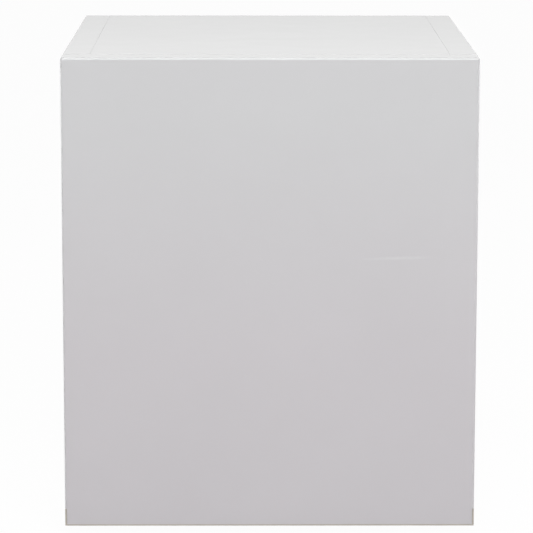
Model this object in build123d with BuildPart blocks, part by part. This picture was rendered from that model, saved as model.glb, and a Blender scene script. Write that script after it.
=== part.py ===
"""A small free-standing refrigerator with one plain door.

Millimetres, +Z up, front towards -Y, origin on the floor under the middle of the cabinet.
"""

import math
import os

from build123d import *

os.makedirs("parts", exist_ok=True)

# Overall size
width = 440.0
depth = 480.0
height = 516.0

# Sheet steel, plastic walls and the room between them
sheet = 0.8
fold_radius = 2.0
liner_wall = 1.5
bond_gap = 0.4
slip = 0.3
running_gap = 0.05
side_play = 1.8
overrun = 1.0

# Cabinet
foot_height = 12.0
side_flange = 29.5
front_flange = 24.0
rear_lip = 10.0
rear_hem = 12.0
seam = 0.15
tongue = 12.0
rear_recess = 36.0
side_wall = 30.0
top_wall = 34.0
bottom_wall = 32.0
back_wall = 32.0
niche_depth = 150.0
niche_height = 165.0
niche_wall = 28.0
liner_radius = 12.0
liner_side_radius = 8.0

# Door
door_thickness = 30.0
door_edge_radius = 2.6
door_gap = 3.0
door_floor_gap = 10.5
rim_width = 10.0
rim_lap = 2.0
gasket_inset = 13.0
gasket_width = 10.0
gasket_recess = 7.0
gasket_play = 0.3
gasket_foot = 1.2
gasket_film = 1.0
groove_width = 4.0
groove_depth = 5.0
magnet_width = 6.0
magnet_height = 2.0
dike_inset = 10.0
dike_width = 16.0
dike_reach = 24.0
dike_radius = 4.0
cap_depth = 28.0
cap_roof = 1.2
cap_lip = 1.6
corner_lug_width = 2.0
corner_lug_height = 18.5
grip_length = 120.0
grip_width = 13.0
grip_front_wall = 3.0
grip_depth = 20.0
grip_wall = 1.5
grip_height = 300.0

# Hinges
pin_radius = 2.5
pin_to_back = 14.0
pin_reach = 13.0
pin_head_radius = 4.5
pin_head_height = 1.6
swing_clear = 0.4
arm_half_width = 7.5
arm_thickness = 3.0
arm_edge_gap = 0.5
plate_reach = 20.0
plate_edge_gap = 3.0
bush_wall = 1.2
bush_flange_wall = 1.2
bush_flange_radius = 5.2
notch_reach = 22.0
notch_front_wall = 3.0
screw_radius = 2.0
screw_head_radius = 3.3
screw_head_height = 2.2
screw_length = 10.0
screw_edge = 2.0
screw_shift = 1.0
backing_thickness = 3.0

# Ice box, drip tray and thermostat
ice_box_height = 76.0
ice_box_front = 40.0
ice_box_wall = 1.5
ice_box_radius = 10.0
hanger_height = 6.0
hanger_radius = 6.0
channel_radius = 2.2
channel_runs = 6
line_radius = 3.0
frame_depth = 10.0
frame_border = 8.0
frame_lap = 5.0
flap_thickness = 6.0
flap_gap = 0.8
flap_pin_radius = 2.0
flap_pin_reach = 5.0
flap_lip = 9.0
tray_height = 20.0
tray_wall = 2.0
tray_rim = 7.0
tray_gap = 8.0
tray_front_reach = 12.0
thermostat_width = 70.0
thermostat_depth = 96.0
thermostat_height = 62.0
thermostat_wall = 2.0
thermostat_radius = 6.0
knob_radius = 20.0
knob_height = 15.0
knob_skirt = 3.0
knob_skirt_radius = 23.0
knob_grips = 16
knob_grip_radius = 1.6
shaft_radius = 3.0
shaft_length = 30.0
neck_radius = 5.0

# Shelf and its ledges
ledge_reach = 8.0
ledge_height = 9.0
ledge_front_gap = 65.0
ledge_back_gap = 6.0
shelf_rise = 54.0
shelf_glass_thickness = 4.0
shelf_front_gap = 112.0
shelf_back_gap = 7.0
trim_lip = 3.0
trim_depth = 12.0
rear_trim_height = 16.0

# Door balconies
balcony_wall = 2.2
balcony_gap = 0.6
balcony_radius = 6.0
balcony_lift = 18.0
balcony_head_room = 8.0
upper_balcony_height = 58.0
upper_balcony_reach = 64.0
lower_balcony_height = 88.0
lower_balcony_reach = 84.0
balcony_lean = 5.0
lug_width = 6.0
lug_reach = 4.5
lug_height = 10.0
lug_rise = 6.0
lug_set_back = 16.0

# Compressor
compressor_length = 130.0
compressor_breadth = 108.0
compressor_height = 116.0
compressor_x = -40.0
compressor_rear_gap = 28.0
compressor_corner = 44.0
compressor_dome = 34.0
weld_rim = 3.0
weld_height = 4.0
mount_plate = 2.0
mount_length = 172.0
mount_breadth = 100.0
mount_bolt_x = 76.0
mount_bolt_y = 40.0
grommet_radius = 11.0
grommet_waist = 7.0
grommet_base = 11.0
grommet_top = 5.0
bolt_radius = 3.0
bolt_head = 4.0
rail_thickness = 2.0
rail_margin = 4.0
rail_turn_up = 9.0
terminal_width = 36.0
terminal_height = 58.0
terminal_depth = 18.0
terminal_rise = 34.0
gland_radius = 6.0
gland_bore = 3.6
gland_length = 7.0
stub_radius = 5.5
stub_length = 8.0

# Pipework behind the cabinet
condenser_tube_radius = 2.5
condenser_side_gap = 40.0
condenser_stand_off = 14.0
condenser_runs = 9
condenser_top_gap = 30.0
condenser_bottom_gap = 18.0
wire_radius = 0.8
wire_count = 14
wire_overhang = 8.0
clip_width = 16.0
clip_height = 12.0
drier_radius = 9.0
drier_length = 80.0
drier_neck = 14.0
riser_gap = 18.0
suction_radius = 4.0
capillary_radius = 1.5
process_length = 14.0
process_radius = 3.0
process_crimp = 8.0
process_rise = 28.0
tube_bend = 12.0

# Feet
front_foot_radius = 14.0
front_foot_set_back = 42.0
foot_side_inset = 52.0
foot_scallops = 16
scallop_radius = 2.2
scallop_depth = 1.2
stud_radius = 4.0
stud_length = 20.0
stud_clear = 0.1
nut_height = 7.0
nut_radius = 7.5
rear_foot_radius = 15.0
rear_foot_stem = 4.0

# Places worked out from the sizes above
half_width = width / 2
front = -depth / 2
rear = depth / 2
door_back = front + door_thickness
cab_front = door_back + door_gap
cab_bottom = foot_height
flange_edge = half_width - side_flange
inner_fold = fold_radius - sheet
back_face = rear - rear_recess
niche_front = rear - niche_depth
niche_top = cab_bottom + niche_height

inner_half = half_width - side_wall
inner_top = height - top_wall
inner_bottom = cab_bottom + bottom_wall
inner_back = back_face - back_wall
hump_front = niche_front - niche_wall
hump_top = niche_top + niche_wall

gasket_centre = gasket_inset + gasket_width / 2
groove_near = gasket_centre - groove_width / 2
groove_far = gasket_centre + groove_width / 2
seat = door_back - gasket_recess
gasket_height = cab_front - seat - gasket_play
door_liner_half = half_width - sheet - bond_gap
rim_top = height - gasket_inset + rim_lap
rim_bottom = cab_bottom + gasket_inset - rim_lap
dike_half = inner_half - dike_inset
dike_top = inner_top - dike_inset
dike_bottom = inner_bottom + dike_inset
crown = cab_front + dike_reach
pocket_half = dike_half - dike_width
pocket_top = dike_top - dike_width
pocket_bottom = dike_bottom + dike_width

swing_room = door_gap - swing_clear
hinge_inset = math.sqrt(swing_room * (swing_room + 2 * pin_to_back))
pin_x = half_width - hinge_inset
pin_y = door_back - pin_to_back
arm_inner = gasket_inset - arm_edge_gap
arm_outer = arm_inner - arm_thickness
bush_radius = pin_radius + running_gap + bush_wall

shelf_level = hump_top + shelf_rise
ice_box_top = inner_top - hanger_height
ice_box_bottom = ice_box_top - ice_box_height
ice_box_left = -inner_half + frame_lap + 2 * frame_border
ice_box_right = inner_half - liner_side_radius - thermostat_width - 2 * frame_border
tray_rim_top = ice_box_bottom - frame_lap - tray_gap
tray_rim_bottom = tray_rim_top - tray_wall
tray_bottom = tray_rim_top - tray_height
upper_rise = tray_bottom - balcony_head_room - balcony_lift - upper_balcony_height
compressor_y = rear - compressor_rear_gap - compressor_breadth / 2
rail_top = cab_bottom + sheet + rail_thickness
mount_bottom = rail_top + grommet_base
shell_bottom = mount_bottom + mount_plate
condenser_y = back_face + condenser_stand_off
condenser_half_width = half_width - condenser_side_gap
condenser_top = height - condenser_top_gap
condenser_bottom = niche_top + condenser_bottom_gap
foot_x = half_width - foot_side_inset
foot_y = cab_front + front_foot_set_back


def upright(y):
    """A plane across the cabinet at y: X to the right, Z up, facing the front."""
    return Plane.XZ.offset(-y)


def span_box(x, y, z, mode=Mode.ADD):
    """A box between two limits on each axis, in the part that is being built."""
    with Locations(((x[0] + x[1]) / 2, (y[0] + y[1]) / 2, (z[0] + z[1]) / 2)):
        Box(x[1] - x[0], y[1] - y[0], z[1] - z[0], mode=mode)


def span_rectangle(x, z, radius=0.0, mode=Mode.ADD):
    """A rectangle between two limits on each axis of the sketch, with round corners if asked."""
    with Locations(((x[0] + x[1]) / 2, (z[0] + z[1]) / 2)):
        if radius > 0:
            RectangleRounded(x[1] - x[0], z[1] - z[0], radius, mode=mode)
        else:
            Rectangle(x[1] - x[0], z[1] - z[0], mode=mode)


def tube(points, radius, bend):
    """A round bar along straight runs with one bend radius."""
    with BuildPart() as bar:
        with BuildLine() as path:
            FilletPolyline(*points, radius=bend)
        with BuildSketch(Plane(origin=path.line @ 0, z_dir=path.line % 0)):
            Circle(radius)
        sweep()
    return bar.part


def keep(piece, name):
    """Name a finished piece and write it."""
    piece.label = name
    export_step(piece, f"parts/{name}.step")


# Side panels: one sheet each, folded in at the top, bottom, front and back
def folded_block(x, y, z, radius):
    """A block with rounded edges, as sheet folds have, except at its inner end, where the sheet is cut."""
    with BuildPart() as block:
        span_box(x, y, z)
        cut_end = block.faces().sort_by(Axis.X)[0].edges()
        fillet(block.edges() - cut_end, radius)
    return block.part


panel_outside = folded_block((flange_edge, half_width), (cab_front, rear), (cab_bottom, height), fold_radius)
panel_inside = folded_block(
    (flange_edge - seam, half_width - sheet),
    (cab_front + sheet, rear - sheet),
    (cab_bottom + sheet, height - sheet),
    inner_fold,
)
with BuildPart() as plain_panel:
    add(panel_outside)
    add(panel_inside, mode=Mode.SUBTRACT)
    span_box(
        (flange_edge - seam, half_width - front_flange),
        (cab_front - sheet, cab_front + sheet),
        (cab_bottom + front_flange, height - front_flange),
        mode=Mode.SUBTRACT,
    )
    span_box(
        (flange_edge - seam, half_width - rear_lip),
        (rear - sheet, rear + sheet),
        (cab_bottom + rear_lip, height - rear_hem),
        mode=Mode.SUBTRACT,
    )
    span_box(
        (flange_edge - tongue, flange_edge + seam),
        (cab_front + fold_radius, rear - fold_radius),
        (height - 2 * sheet, height - sheet),
    )

with BuildPart() as left_side_panel:
    mirror(plain_panel.part, about=Plane.YZ)
keep(left_side_panel.part, "left_side_panel")

screw_x = (pin_x - plate_reach + screw_head_radius + screw_edge, pin_x - screw_shift)
screw_offset = (arm_outer + sheet + cap_roof) / 2


def edge_level(side, offset):
    """Height of a point that lies offset in from the cabinet's top (side 1) or bottom (side -1)."""
    return height - offset if side > 0 else cab_bottom + offset


def edge_span(side, near, far):
    """The two heights between two offsets in from the cabinet's top or bottom, lowest first."""
    return tuple(sorted((edge_level(side, near), edge_level(side, far))))


hinge_screw_spots = [(x, edge_level(side, screw_offset)) for side in (1, -1) for x in screw_x]
with BuildPart() as right_side_panel:
    add(plain_panel.part)
    with BuildSketch(upright(cab_front + sheet)):
        with Locations(*hinge_screw_spots):
            Circle(screw_radius)
    extrude(amount=sheet, mode=Mode.SUBTRACT)
keep(right_side_panel.part, "right_side_panel")

# Top panel: let in between the two side flanges, turned down at the front and the back
with BuildPart() as top_panel:
    with BuildSketch(Plane.YZ):
        with BuildLine():
            Polyline(
                (cab_front, height - front_flange),
                (cab_front, height),
                (rear, height),
                (rear, height - rear_hem),
                (rear - sheet, height - rear_hem),
                (rear - sheet, height - sheet),
                (cab_front + sheet, height - sheet),
                (cab_front + sheet, height - front_flange),
                close=True,
            )
        make_face()
    extrude(amount=flange_edge - seam, both=True)
    across = top_panel.edges().filter_by(Axis.X)
    fillet(across.filter_by_position(Axis.Z, height - seam / 2, height), fold_radius)
    across = top_panel.edges().filter_by(Axis.X)
    inner_corners = across.filter_by_position(Axis.Z, height - sheet * 1.1, height - sheet * 0.9)
    fillet(inner_corners, inner_fold)
keep(top_panel.part, "top_panel")

# Base plate: lies on the side panels' bottom flanges, turned up at the front
base_level = cab_bottom + sheet
with BuildPart() as base_plate:
    with BuildSketch(Plane.YZ):
        with BuildLine():
            Polyline(
                (cab_front, base_level),
                (niche_front, base_level),
                (niche_front, base_level + sheet),
                (cab_front + sheet, base_level + sheet),
                (cab_front + sheet, cab_bottom + front_flange),
                (cab_front, cab_bottom + front_flange),
                close=True,
            )
        make_face()
    extrude(amount=flange_edge - seam, both=True)
    span_box(
        (-half_width + fold_radius, half_width - fold_radius),
        (cab_front + fold_radius, niche_front),
        (base_level, base_level + sheet),
    )
    with BuildSketch(Plane.XY.offset(base_level)):
        with Locations((-foot_x, foot_y), (foot_x, foot_y)):
            Circle(stud_radius + slip)
    extrude(amount=sheet, mode=Mode.SUBTRACT)
keep(base_plate.part, "base_plate")

# Back panel: one sheet bent round the compressor niche
with BuildPart() as back_panel:
    with BuildSketch(Plane.YZ):
        with BuildLine():
            Polyline(
                (back_face, height - 2 * sheet),
                (back_face, niche_top),
                (niche_front, niche_top),
                (niche_front, base_level + sheet),
                (niche_front - sheet, base_level + sheet),
                (niche_front - sheet, niche_top + sheet),
                (back_face - sheet, niche_top + sheet),
                (back_face - sheet, height - 2 * sheet),
                close=True,
            )
        make_face()
    extrude(amount=half_width - sheet - slip, both=True)
keep(back_panel.part, "back_panel")


# Inner liner: a moulded tub with a step over the compressor niche
def food_space(grow):
    """The space inside the liner as a solid, grown outwards on every side but the front."""
    half = inner_half + grow
    floor = inner_bottom - grow
    step_front = hump_front + grow
    step_top = hump_top - grow
    back = inner_back + grow
    top = inner_top + grow
    with BuildPart() as space:
        with BuildSketch(Plane.YZ) as side_view:
            with BuildLine():
                Polyline(
                    (cab_front, floor),
                    (step_front, floor),
                    (step_front, step_top),
                    (back, step_top),
                    (back, top),
                    (cab_front, top),
                    close=True,
                )
            make_face()
            inward = side_view.vertices().sort_by_distance((step_front, step_top))[0]
            fillet(inward, liner_radius - grow)
            for corner in ((step_front, floor), (back, step_top), (back, top)):
                outward = side_view.vertices().sort_by_distance(corner)[0]
                fillet(outward, liner_radius + grow)
        extrude(amount=half, both=True)
        long_edges = [
            edge
            for edge in space.edges()
            if abs(abs(edge.center().X) - half) < sheet / 2 and edge.center().Y > cab_front + sheet
        ]
        fillet(long_edges, liner_side_radius + grow)
    return space.part


liner_outside = food_space(liner_wall)
liner_inside = food_space(0.0)
ledge_front = cab_front + ledge_front_gap
ledge_back = inner_back - ledge_back_gap
with BuildPart() as inner_liner:
    with BuildSketch(upright(cab_front + liner_wall)):
        span_rectangle(
            (-half_width + front_flange + bond_gap, half_width - front_flange - bond_gap),
            (cab_bottom + front_flange + bond_gap, height - front_flange - bond_gap),
        )
    extrude(amount=liner_wall)
    add(liner_outside)
    add(liner_inside, mode=Mode.SUBTRACT)
    for side in (-1, 1):
        for ledge_top in (shelf_level - slip, tray_rim_bottom - slip):
            with BuildSketch(Plane.YZ.offset(side * inner_half)):
                with Locations(((ledge_front + ledge_back) / 2, ledge_top - ledge_height / 2)):
                    SlotOverall(ledge_back - ledge_front, ledge_height)
            extrude(amount=-side * ledge_reach)
keep(inner_liner.part, "inner_liner")

# Foam: fills the walls between the sheets and the liner
foam_room = food_space(liner_wall + bond_gap)
foam_front = cab_front + liner_wall + bond_gap
foam_bottom = base_level + sheet + bond_gap
backing_x = (screw_x[0] - screw_head_radius, half_width - fold_radius)
nut_top = base_level + sheet + nut_height
stud_top = foot_height + stud_length
with BuildPart() as cabinet_foam:
    with BuildSketch(Plane.YZ):
        with BuildLine():
            Polyline(
                (foam_front, foam_bottom),
                (niche_front - sheet - bond_gap, foam_bottom),
                (niche_front - sheet - bond_gap, niche_top + sheet + bond_gap),
                (back_face - sheet - bond_gap, niche_top + sheet + bond_gap),
                (back_face - sheet - bond_gap, height - 2 * sheet - bond_gap),
                (foam_front, height - 2 * sheet - bond_gap),
                close=True,
            )
        make_face()
    extrude(amount=half_width - sheet - bond_gap, both=True)
    add(foam_room, mode=Mode.SUBTRACT)
    for side in (1, -1):
        span_box(
            (backing_x[0] - bond_gap, half_width),
            (cab_front, cab_front + sheet + screw_length + bond_gap),
            edge_span(side, 0.0, gasket_inset),
            mode=Mode.SUBTRACT,
        )
    with BuildSketch(Plane.XY.offset(base_level)):
        with Locations((-foot_x, foot_y), (foot_x, foot_y)):
            Circle(nut_radius + bond_gap)
    extrude(amount=max(nut_top, stud_top) - base_level + slip, mode=Mode.SUBTRACT)
keep(cabinet_foam.part, "cabinet_foam")


# Hinges: a bracket, its pin and two screws at the top right and bottom right corner
def hinge_bracket(side):
    """Bracket at the top (side 1) or bottom (side -1): a plate on the cabinet and an arm to the pin."""
    arm_levels = edge_span(side, arm_outer, arm_inner)
    plate_levels = edge_span(side, plate_edge_gap, arm_inner)
    with BuildPart() as bracket:
        with BuildSketch(Plane.XY.offset(arm_levels[0])):
            with Locations((pin_x, pin_y)):
                Circle(arm_half_width)
            span_rectangle((pin_x - arm_half_width, pin_x + arm_half_width), (pin_y, cab_front))
        extrude(amount=arm_thickness)
        span_box(
            (pin_x - plate_reach, half_width - fold_radius),
            (cab_front - arm_thickness, cab_front),
            plate_levels,
        )
        with BuildSketch(Plane.XY.offset(arm_levels[0])):
            with Locations((pin_x, pin_y)):
                Circle(pin_radius)
        extrude(amount=arm_thickness, mode=Mode.SUBTRACT)
        with BuildSketch(upright(cab_front)):
            with Locations(*[(x, edge_level(side, screw_offset)) for x in screw_x]):
                Circle(screw_radius)
        extrude(amount=arm_thickness, mode=Mode.SUBTRACT)
    return bracket.part


def hinge_pin(side):
    """Pin riveted through the arm: a flat head outside it and the bearing length inside."""
    head_levels = edge_span(side, arm_outer - pin_head_height, arm_outer)
    shank_levels = edge_span(side, arm_outer, arm_inner + pin_reach)
    with BuildPart() as pin:
        with BuildSketch(Plane.XY.offset(head_levels[0])):
            with Locations((pin_x, pin_y)):
                Circle(pin_head_radius)
        extrude(amount=pin_head_height)
        with BuildSketch(Plane.XY.offset(shank_levels[0])):
            with Locations((pin_x, pin_y)):
                Circle(pin_radius)
        extrude(amount=shank_levels[1] - shank_levels[0])
        tip = pin.edges().group_by(Axis.Z)[0 if side > 0 else -1]
        chamfer(tip, pin_radius / 4)
    return pin.part


def hinge_bush(side):
    """Flanged plastic bush in the door cap, which turns on the pin."""
    flange_levels = edge_span(side, gasket_inset - arm_edge_gap + slip, gasket_inset + bush_flange_wall)
    sleeve_levels = edge_span(side, gasket_inset, arm_inner + pin_reach)
    with BuildPart() as bush:
        with BuildSketch(Plane.XY.offset(flange_levels[0])):
            with Locations((pin_x, pin_y)):
                Circle(bush_flange_radius)
        extrude(amount=flange_levels[1] - flange_levels[0])
        with BuildSketch(Plane.XY.offset(sleeve_levels[0])):
            with Locations((pin_x, pin_y)):
                Circle(bush_radius)
        extrude(amount=sleeve_levels[1] - sleeve_levels[0])
        with BuildSketch(Plane.XY.offset(min(flange_levels[0], sleeve_levels[0]))):
            with Locations((pin_x, pin_y)):
                Circle(pin_radius + running_gap)
        extrude(amount=2 * pin_reach, mode=Mode.SUBTRACT)
    return bush.part


for side, place in ((1, "upper"), (-1, "lower")):
    keep(hinge_bracket(side), f"{place}_hinge_bracket")
    keep(hinge_pin(side), f"{place}_hinge_pin")
    keep(hinge_bush(side), f"{place}_hinge_bush")

with BuildPart() as hinge_screws:
    plate_face = cab_front - arm_thickness
    with BuildSketch(upright(plate_face)):
        with Locations(*hinge_screw_spots):
            Circle(screw_head_radius)
    extrude(amount=screw_head_height)
    heads = hinge_screws.edges().group_by(Axis.Y)[0]
    fillet(heads, screw_head_height / 2)
    with BuildSketch(upright(plate_face + screw_length)):
        with Locations(*hinge_screw_spots):
            Circle(screw_radius)
    extrude(amount=screw_length)
keep(hinge_screws.part, "hinge_screws")

with BuildPart() as hinge_backing_plates:
    for side in (1, -1):
        span_box(
            backing_x,
            (cab_front + sheet, cab_front + sheet + backing_thickness),
            edge_span(side, 2 * fold_radius, arm_inner),
        )
    with BuildSketch(upright(cab_front + sheet + backing_thickness)):
        with Locations(*hinge_screw_spots):
            Circle(screw_radius)
    extrude(amount=backing_thickness, mode=Mode.SUBTRACT)
keep(hinge_backing_plates.part, "hinge_backing_plates")

# Door: the notches at the hinge corners, which every piece of the door leaves free
notch_x = (pin_x - notch_reach, half_width + overrun)
notch_y = (front + notch_front_wall, door_back + overrun)
upper_notch_z = (height - gasket_inset, height - sheet - cap_roof)
lower_notch_z = (door_floor_gap - overrun, cab_bottom + gasket_inset)
grip_z = (grip_height - grip_length / 2, grip_height + grip_length / 2)
grip_y = (front + grip_front_wall, front + grip_front_wall + grip_width)


def cut_notches():
    """Leave the two hinge corners open to the back and to the right."""
    span_box(notch_x, notch_y, upper_notch_z, mode=Mode.SUBTRACT)
    span_box(notch_x, notch_y, lower_notch_z, mode=Mode.SUBTRACT)


# Door skin: a steel tray with rounded edges and a J-shaped lip along both sides
def skin_block(inset, radius, back, bottom):
    """The door's outer block, set in by one sheet for its inside, with rounded front edges."""
    with BuildPart() as block:
        span_box(
            (-half_width + inset, half_width - inset),
            (front + inset, back),
            (bottom, height - inset),
        )
        front_edges = block.faces().sort_by(Axis.Y)[0].edges().sort_by(Axis.Z)[1:]
        top_edges = block.faces().sort_by(Axis.Z)[-1].edges().filter_by(Axis.Y)
        fillet(front_edges + top_edges, radius)
    return block.part


skin_outside = skin_block(0.0, door_edge_radius, door_back, door_floor_gap + cap_lip)
skin_inside = skin_block(sheet, door_edge_radius - sheet, door_back + overrun, door_floor_gap - overrun)
with BuildPart() as door_skin:
    add(skin_outside)
    add(skin_inside, mode=Mode.SUBTRACT)
    for side in (-1, 1):
        outer_x = side * (half_width - sheet)
        lip_x = side * (half_width - rim_width)
        span_box(
            tuple(sorted((outer_x, lip_x))),
            (door_back - sheet, door_back),
            (rim_bottom + slip, rim_top - slip),
        )
        span_box(
            tuple(sorted((lip_x, lip_x + side * sheet))),
            (seat, door_back),
            (rim_bottom + slip, rim_top - slip),
        )
        span_box(
            tuple(sorted((side * (half_width - corner_lug_width), side * (half_width + overrun)))),
            (front - overrun, door_back + overrun),
            (door_floor_gap - overrun, door_floor_gap + corner_lug_height),
            mode=Mode.SUBTRACT,
        )
    cut_notches()
    span_box((-half_width - overrun, -half_width + 2 * sheet), grip_y, grip_z, mode=Mode.SUBTRACT)
keep(door_skin.part, "door_skin")

# Door caps: mouldings that close the top and the bottom and carry the hinge bushes
cap_front = front + sheet
groove_floor = seat - groove_depth - liner_wall - bond_gap
cap_half = half_width - sheet
bush_block_left = half_width - groove_near + liner_wall + slip


def door_cap(side, outer_level, rim_level):
    """Cap at the top (side 1) or bottom (side -1), stepped forward behind the gasket channel."""
    inner_level = edge_level(side, cap_depth)
    block_levels = edge_span(side, gasket_inset, cap_depth)
    with BuildPart() as cap:
        with BuildSketch(Plane.YZ):
            with BuildLine():
                Polyline(
                    (cap_front, outer_level),
                    (door_back, outer_level),
                    (door_back, rim_level),
                    (groove_floor, rim_level),
                    (groove_floor, inner_level),
                    (cap_front, inner_level),
                    close=True,
                )
            make_face()
        extrude(amount=cap_half, both=True)
        span_box((bush_block_left, cap_half), (cap_front, seat - liner_wall - slip), block_levels)
        add(skin_inside, mode=Mode.INTERSECT)
        cut_notches()
        with BuildSketch(Plane.XY.offset(block_levels[0])):
            with Locations((pin_x, pin_y)):
                Circle(bush_radius)
        extrude(amount=block_levels[1] - block_levels[0], mode=Mode.SUBTRACT)
        seat_levels = edge_span(side, gasket_inset, gasket_inset + bush_flange_wall)
        with BuildSketch(Plane.XY.offset(seat_levels[0])):
            with Locations((pin_x, pin_y)):
                Circle(bush_flange_radius)
        extrude(amount=bush_flange_wall, mode=Mode.SUBTRACT)
    return cap.part


keep(door_cap(1, height - sheet, rim_top), "door_top_cap")

plain_bottom_cap = door_cap(-1, door_floor_gap, rim_bottom)
with BuildPart() as door_bottom_cap:
    add(plain_bottom_cap)
    span_box((-half_width, half_width), (front, door_back), (door_floor_gap, door_floor_gap + cap_lip))
    for side in (-1, 1):
        span_box(
            tuple(sorted((side * (half_width - corner_lug_width + slip), side * half_width))),
            (front, door_back),
            (door_floor_gap, door_floor_gap + corner_lug_height - slip),
        )
    outer_corners = [
        edge
        for edge in door_bottom_cap.edges().filter_by(Axis.Z)
        if edge.center().Y < front + slip and abs(edge.center().X) > half_width - slip
    ]
    fillet(outer_corners, corner_lug_width / 2)
    span_box(
        (-door_liner_half - slip, door_liner_half + slip),
        (seat - liner_wall - slip, door_back),
        (rim_bottom, cab_bottom + cap_depth),
        mode=Mode.SUBTRACT,
    )
    cut_notches()
keep(door_bottom_cap.part, "door_bottom_cap")


# Door liner: a moulded sheet with a gasket seat, a dike that enters the cabinet and a flat middle
def door_form(inset):
    """The solid in front of the liner's rear face, or inset in from it for the liner's other face."""
    with BuildPart() as form:
        with BuildSketch(upright(seat - inset)):
            span_rectangle(
                (-door_liner_half, door_liner_half),
                (rim_bottom + slip, rim_top - slip),
            )
        extrude(amount=seat - inset - cap_front)
        with BuildSketch(upright(seat - inset)):
            span_rectangle(
                (-half_width + groove_near - inset, half_width - groove_near + inset),
                (cab_bottom + groove_near - inset, height - groove_near + inset),
            )
            span_rectangle(
                (-half_width + groove_far + inset, half_width - groove_far - inset),
                (cab_bottom + groove_far + inset, height - groove_far - inset),
                mode=Mode.SUBTRACT,
            )
        extrude(amount=groove_depth, mode=Mode.SUBTRACT)
        with BuildSketch(upright(crown - inset)):
            span_rectangle(
                (-dike_half + inset, dike_half - inset),
                (dike_bottom + inset, dike_top - inset),
                radius=liner_radius,
            )
        extrude(amount=crown - seat)
        with BuildSketch(upright(crown - inset)):
            span_rectangle(
                (-pocket_half - inset, pocket_half + inset),
                (pocket_bottom - inset, pocket_top + inset),
                radius=liner_radius,
            )
        extrude(amount=crown - door_back, mode=Mode.SUBTRACT)
        fillet(form.edges().group_by(Axis.Y)[-1], dike_radius - inset)
    return form.part


balconies = {
    "upper_balcony": (upper_rise, upper_balcony_height, upper_balcony_reach),
    "lower_balcony": (pocket_bottom + liner_radius, lower_balcony_height, lower_balcony_reach),
}
lug_y = (door_back + lug_set_back - lug_width / 2, door_back + lug_set_back + lug_width / 2)
liner_rear = door_form(0.0)
liner_front = door_form(liner_wall)
with BuildPart() as door_liner:
    add(liner_rear)
    add(liner_front, mode=Mode.SUBTRACT)
    for rise, _, _ in balconies.values():
        for side in (-1, 1):
            span_box(
                tuple(sorted((side * (pocket_half - lug_reach), side * (pocket_half + liner_wall / 2)))),
                lug_y,
                (rise + lug_rise, rise + lug_rise + lug_height),
            )
    cut_notches()
keep(door_liner.part, "door_liner")

# Door grip: a moulded cup in the opening edge
with BuildPart() as door_grip:
    span_box((-half_width, -half_width + grip_depth), grip_y, grip_z)
    fillet(door_grip.faces().sort_by(Axis.X)[-1].edges(), grip_wall * 2)
    span_box(
        (-half_width - overrun, -half_width + grip_depth - grip_wall),
        (grip_y[0] + grip_wall, grip_y[1] - grip_wall),
        (grip_z[0] + grip_wall, grip_z[1] - grip_wall),
        mode=Mode.SUBTRACT,
    )
keep(door_grip.part, "door_grip")

# Door foam: fills the door between skin, caps, grip and liner
foam_inset = sheet + bond_gap
foam_form = door_form(liner_wall + bond_gap)
foam_room = skin_block(foam_inset, door_edge_radius - foam_inset, crown, door_floor_gap)
with BuildPart() as door_foam:
    add(foam_form)
    add(foam_room, mode=Mode.INTERSECT)
    for side in (1, -1):
        span_box(
            (-half_width, half_width),
            (front, crown),
            edge_span(side, 0.0, cap_depth + bond_gap),
            mode=Mode.SUBTRACT,
        )
    span_box(
        (-half_width, -half_width + grip_depth + bond_gap),
        (grip_y[0] - bond_gap, grip_y[1] + bond_gap),
        (grip_z[0] - bond_gap, grip_z[1] + bond_gap),
        mode=Mode.SUBTRACT,
    )
keep(door_foam.part, "door_foam")

# Gasket: a hollow vinyl section with a barbed foot, mitred at the corners
ring_half = half_width - gasket_centre
ring_bottom = cab_bottom + gasket_centre
ring_top = height - gasket_centre
head_height = magnet_height + 2 * gasket_film
barb_half = groove_width / 2 - slip
magnet_level = gasket_height - head_height / 2
with BuildPart() as door_gasket:
    with BuildLine(upright(seat)) as ring_path:
        Polyline(
            (0.0, ring_bottom),
            (ring_half, ring_bottom),
            (ring_half, ring_top),
            (-ring_half, ring_top),
            (-ring_half, ring_bottom),
            (0.0, ring_bottom),
        )
    with BuildSketch(Plane(origin=(0.0, seat, ring_bottom), x_dir=(0, 0, -1), z_dir=(1, 0, 0))):
        with BuildLine():
            half = gasket_width / 2
            neck = gasket_width / 4
            fold_level = gasket_height - head_height
            Polyline(
                (-barb_half, -groove_depth + slip),
                (barb_half, -groove_depth + slip),
                (barb_half * 0.6, 0.0),
                (half, 0.0),
                (half, gasket_foot),
                (neck, fold_level * 0.45),
                (half * 0.9, fold_level * 0.75),
                (neck, fold_level),
                (half * 0.92, fold_level),
                (half * 0.92, gasket_height),
                (-half * 0.92, gasket_height),
                (-half * 0.92, fold_level),
                (-neck, fold_level),
                (-half * 0.9, fold_level * 0.75),
                (-neck, fold_level * 0.45),
                (-half, gasket_foot),
                (-half, 0.0),
                (-barb_half * 0.6, 0.0),
                close=True,
            )
        make_face()
        with Locations((0, magnet_level)):
            Rectangle(magnet_width, magnet_height, mode=Mode.SUBTRACT)
    sweep(path=ring_path.wires()[0], transition=Transition.RIGHT)
keep(door_gasket.part, "door_gasket")

magnet_middle = seat + magnet_level
magnet_reach = magnet_height / 2 - running_gap
magnet_y = (magnet_middle - magnet_reach, magnet_middle + magnet_reach)
magnet_half = magnet_width / 2 - running_gap
with BuildPart() as gasket_magnets:
    for level in (ring_bottom, ring_top):
        span_box(
            (-ring_half + magnet_width, ring_half - magnet_width),
            magnet_y,
            (level - magnet_half, level + magnet_half),
        )
    for x in (-ring_half, ring_half):
        span_box(
            (x - magnet_half, x + magnet_half),
            magnet_y,
            (ring_bottom + magnet_width, ring_top - magnet_width),
        )
keep(gasket_magnets.part, "gasket_magnets")


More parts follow.
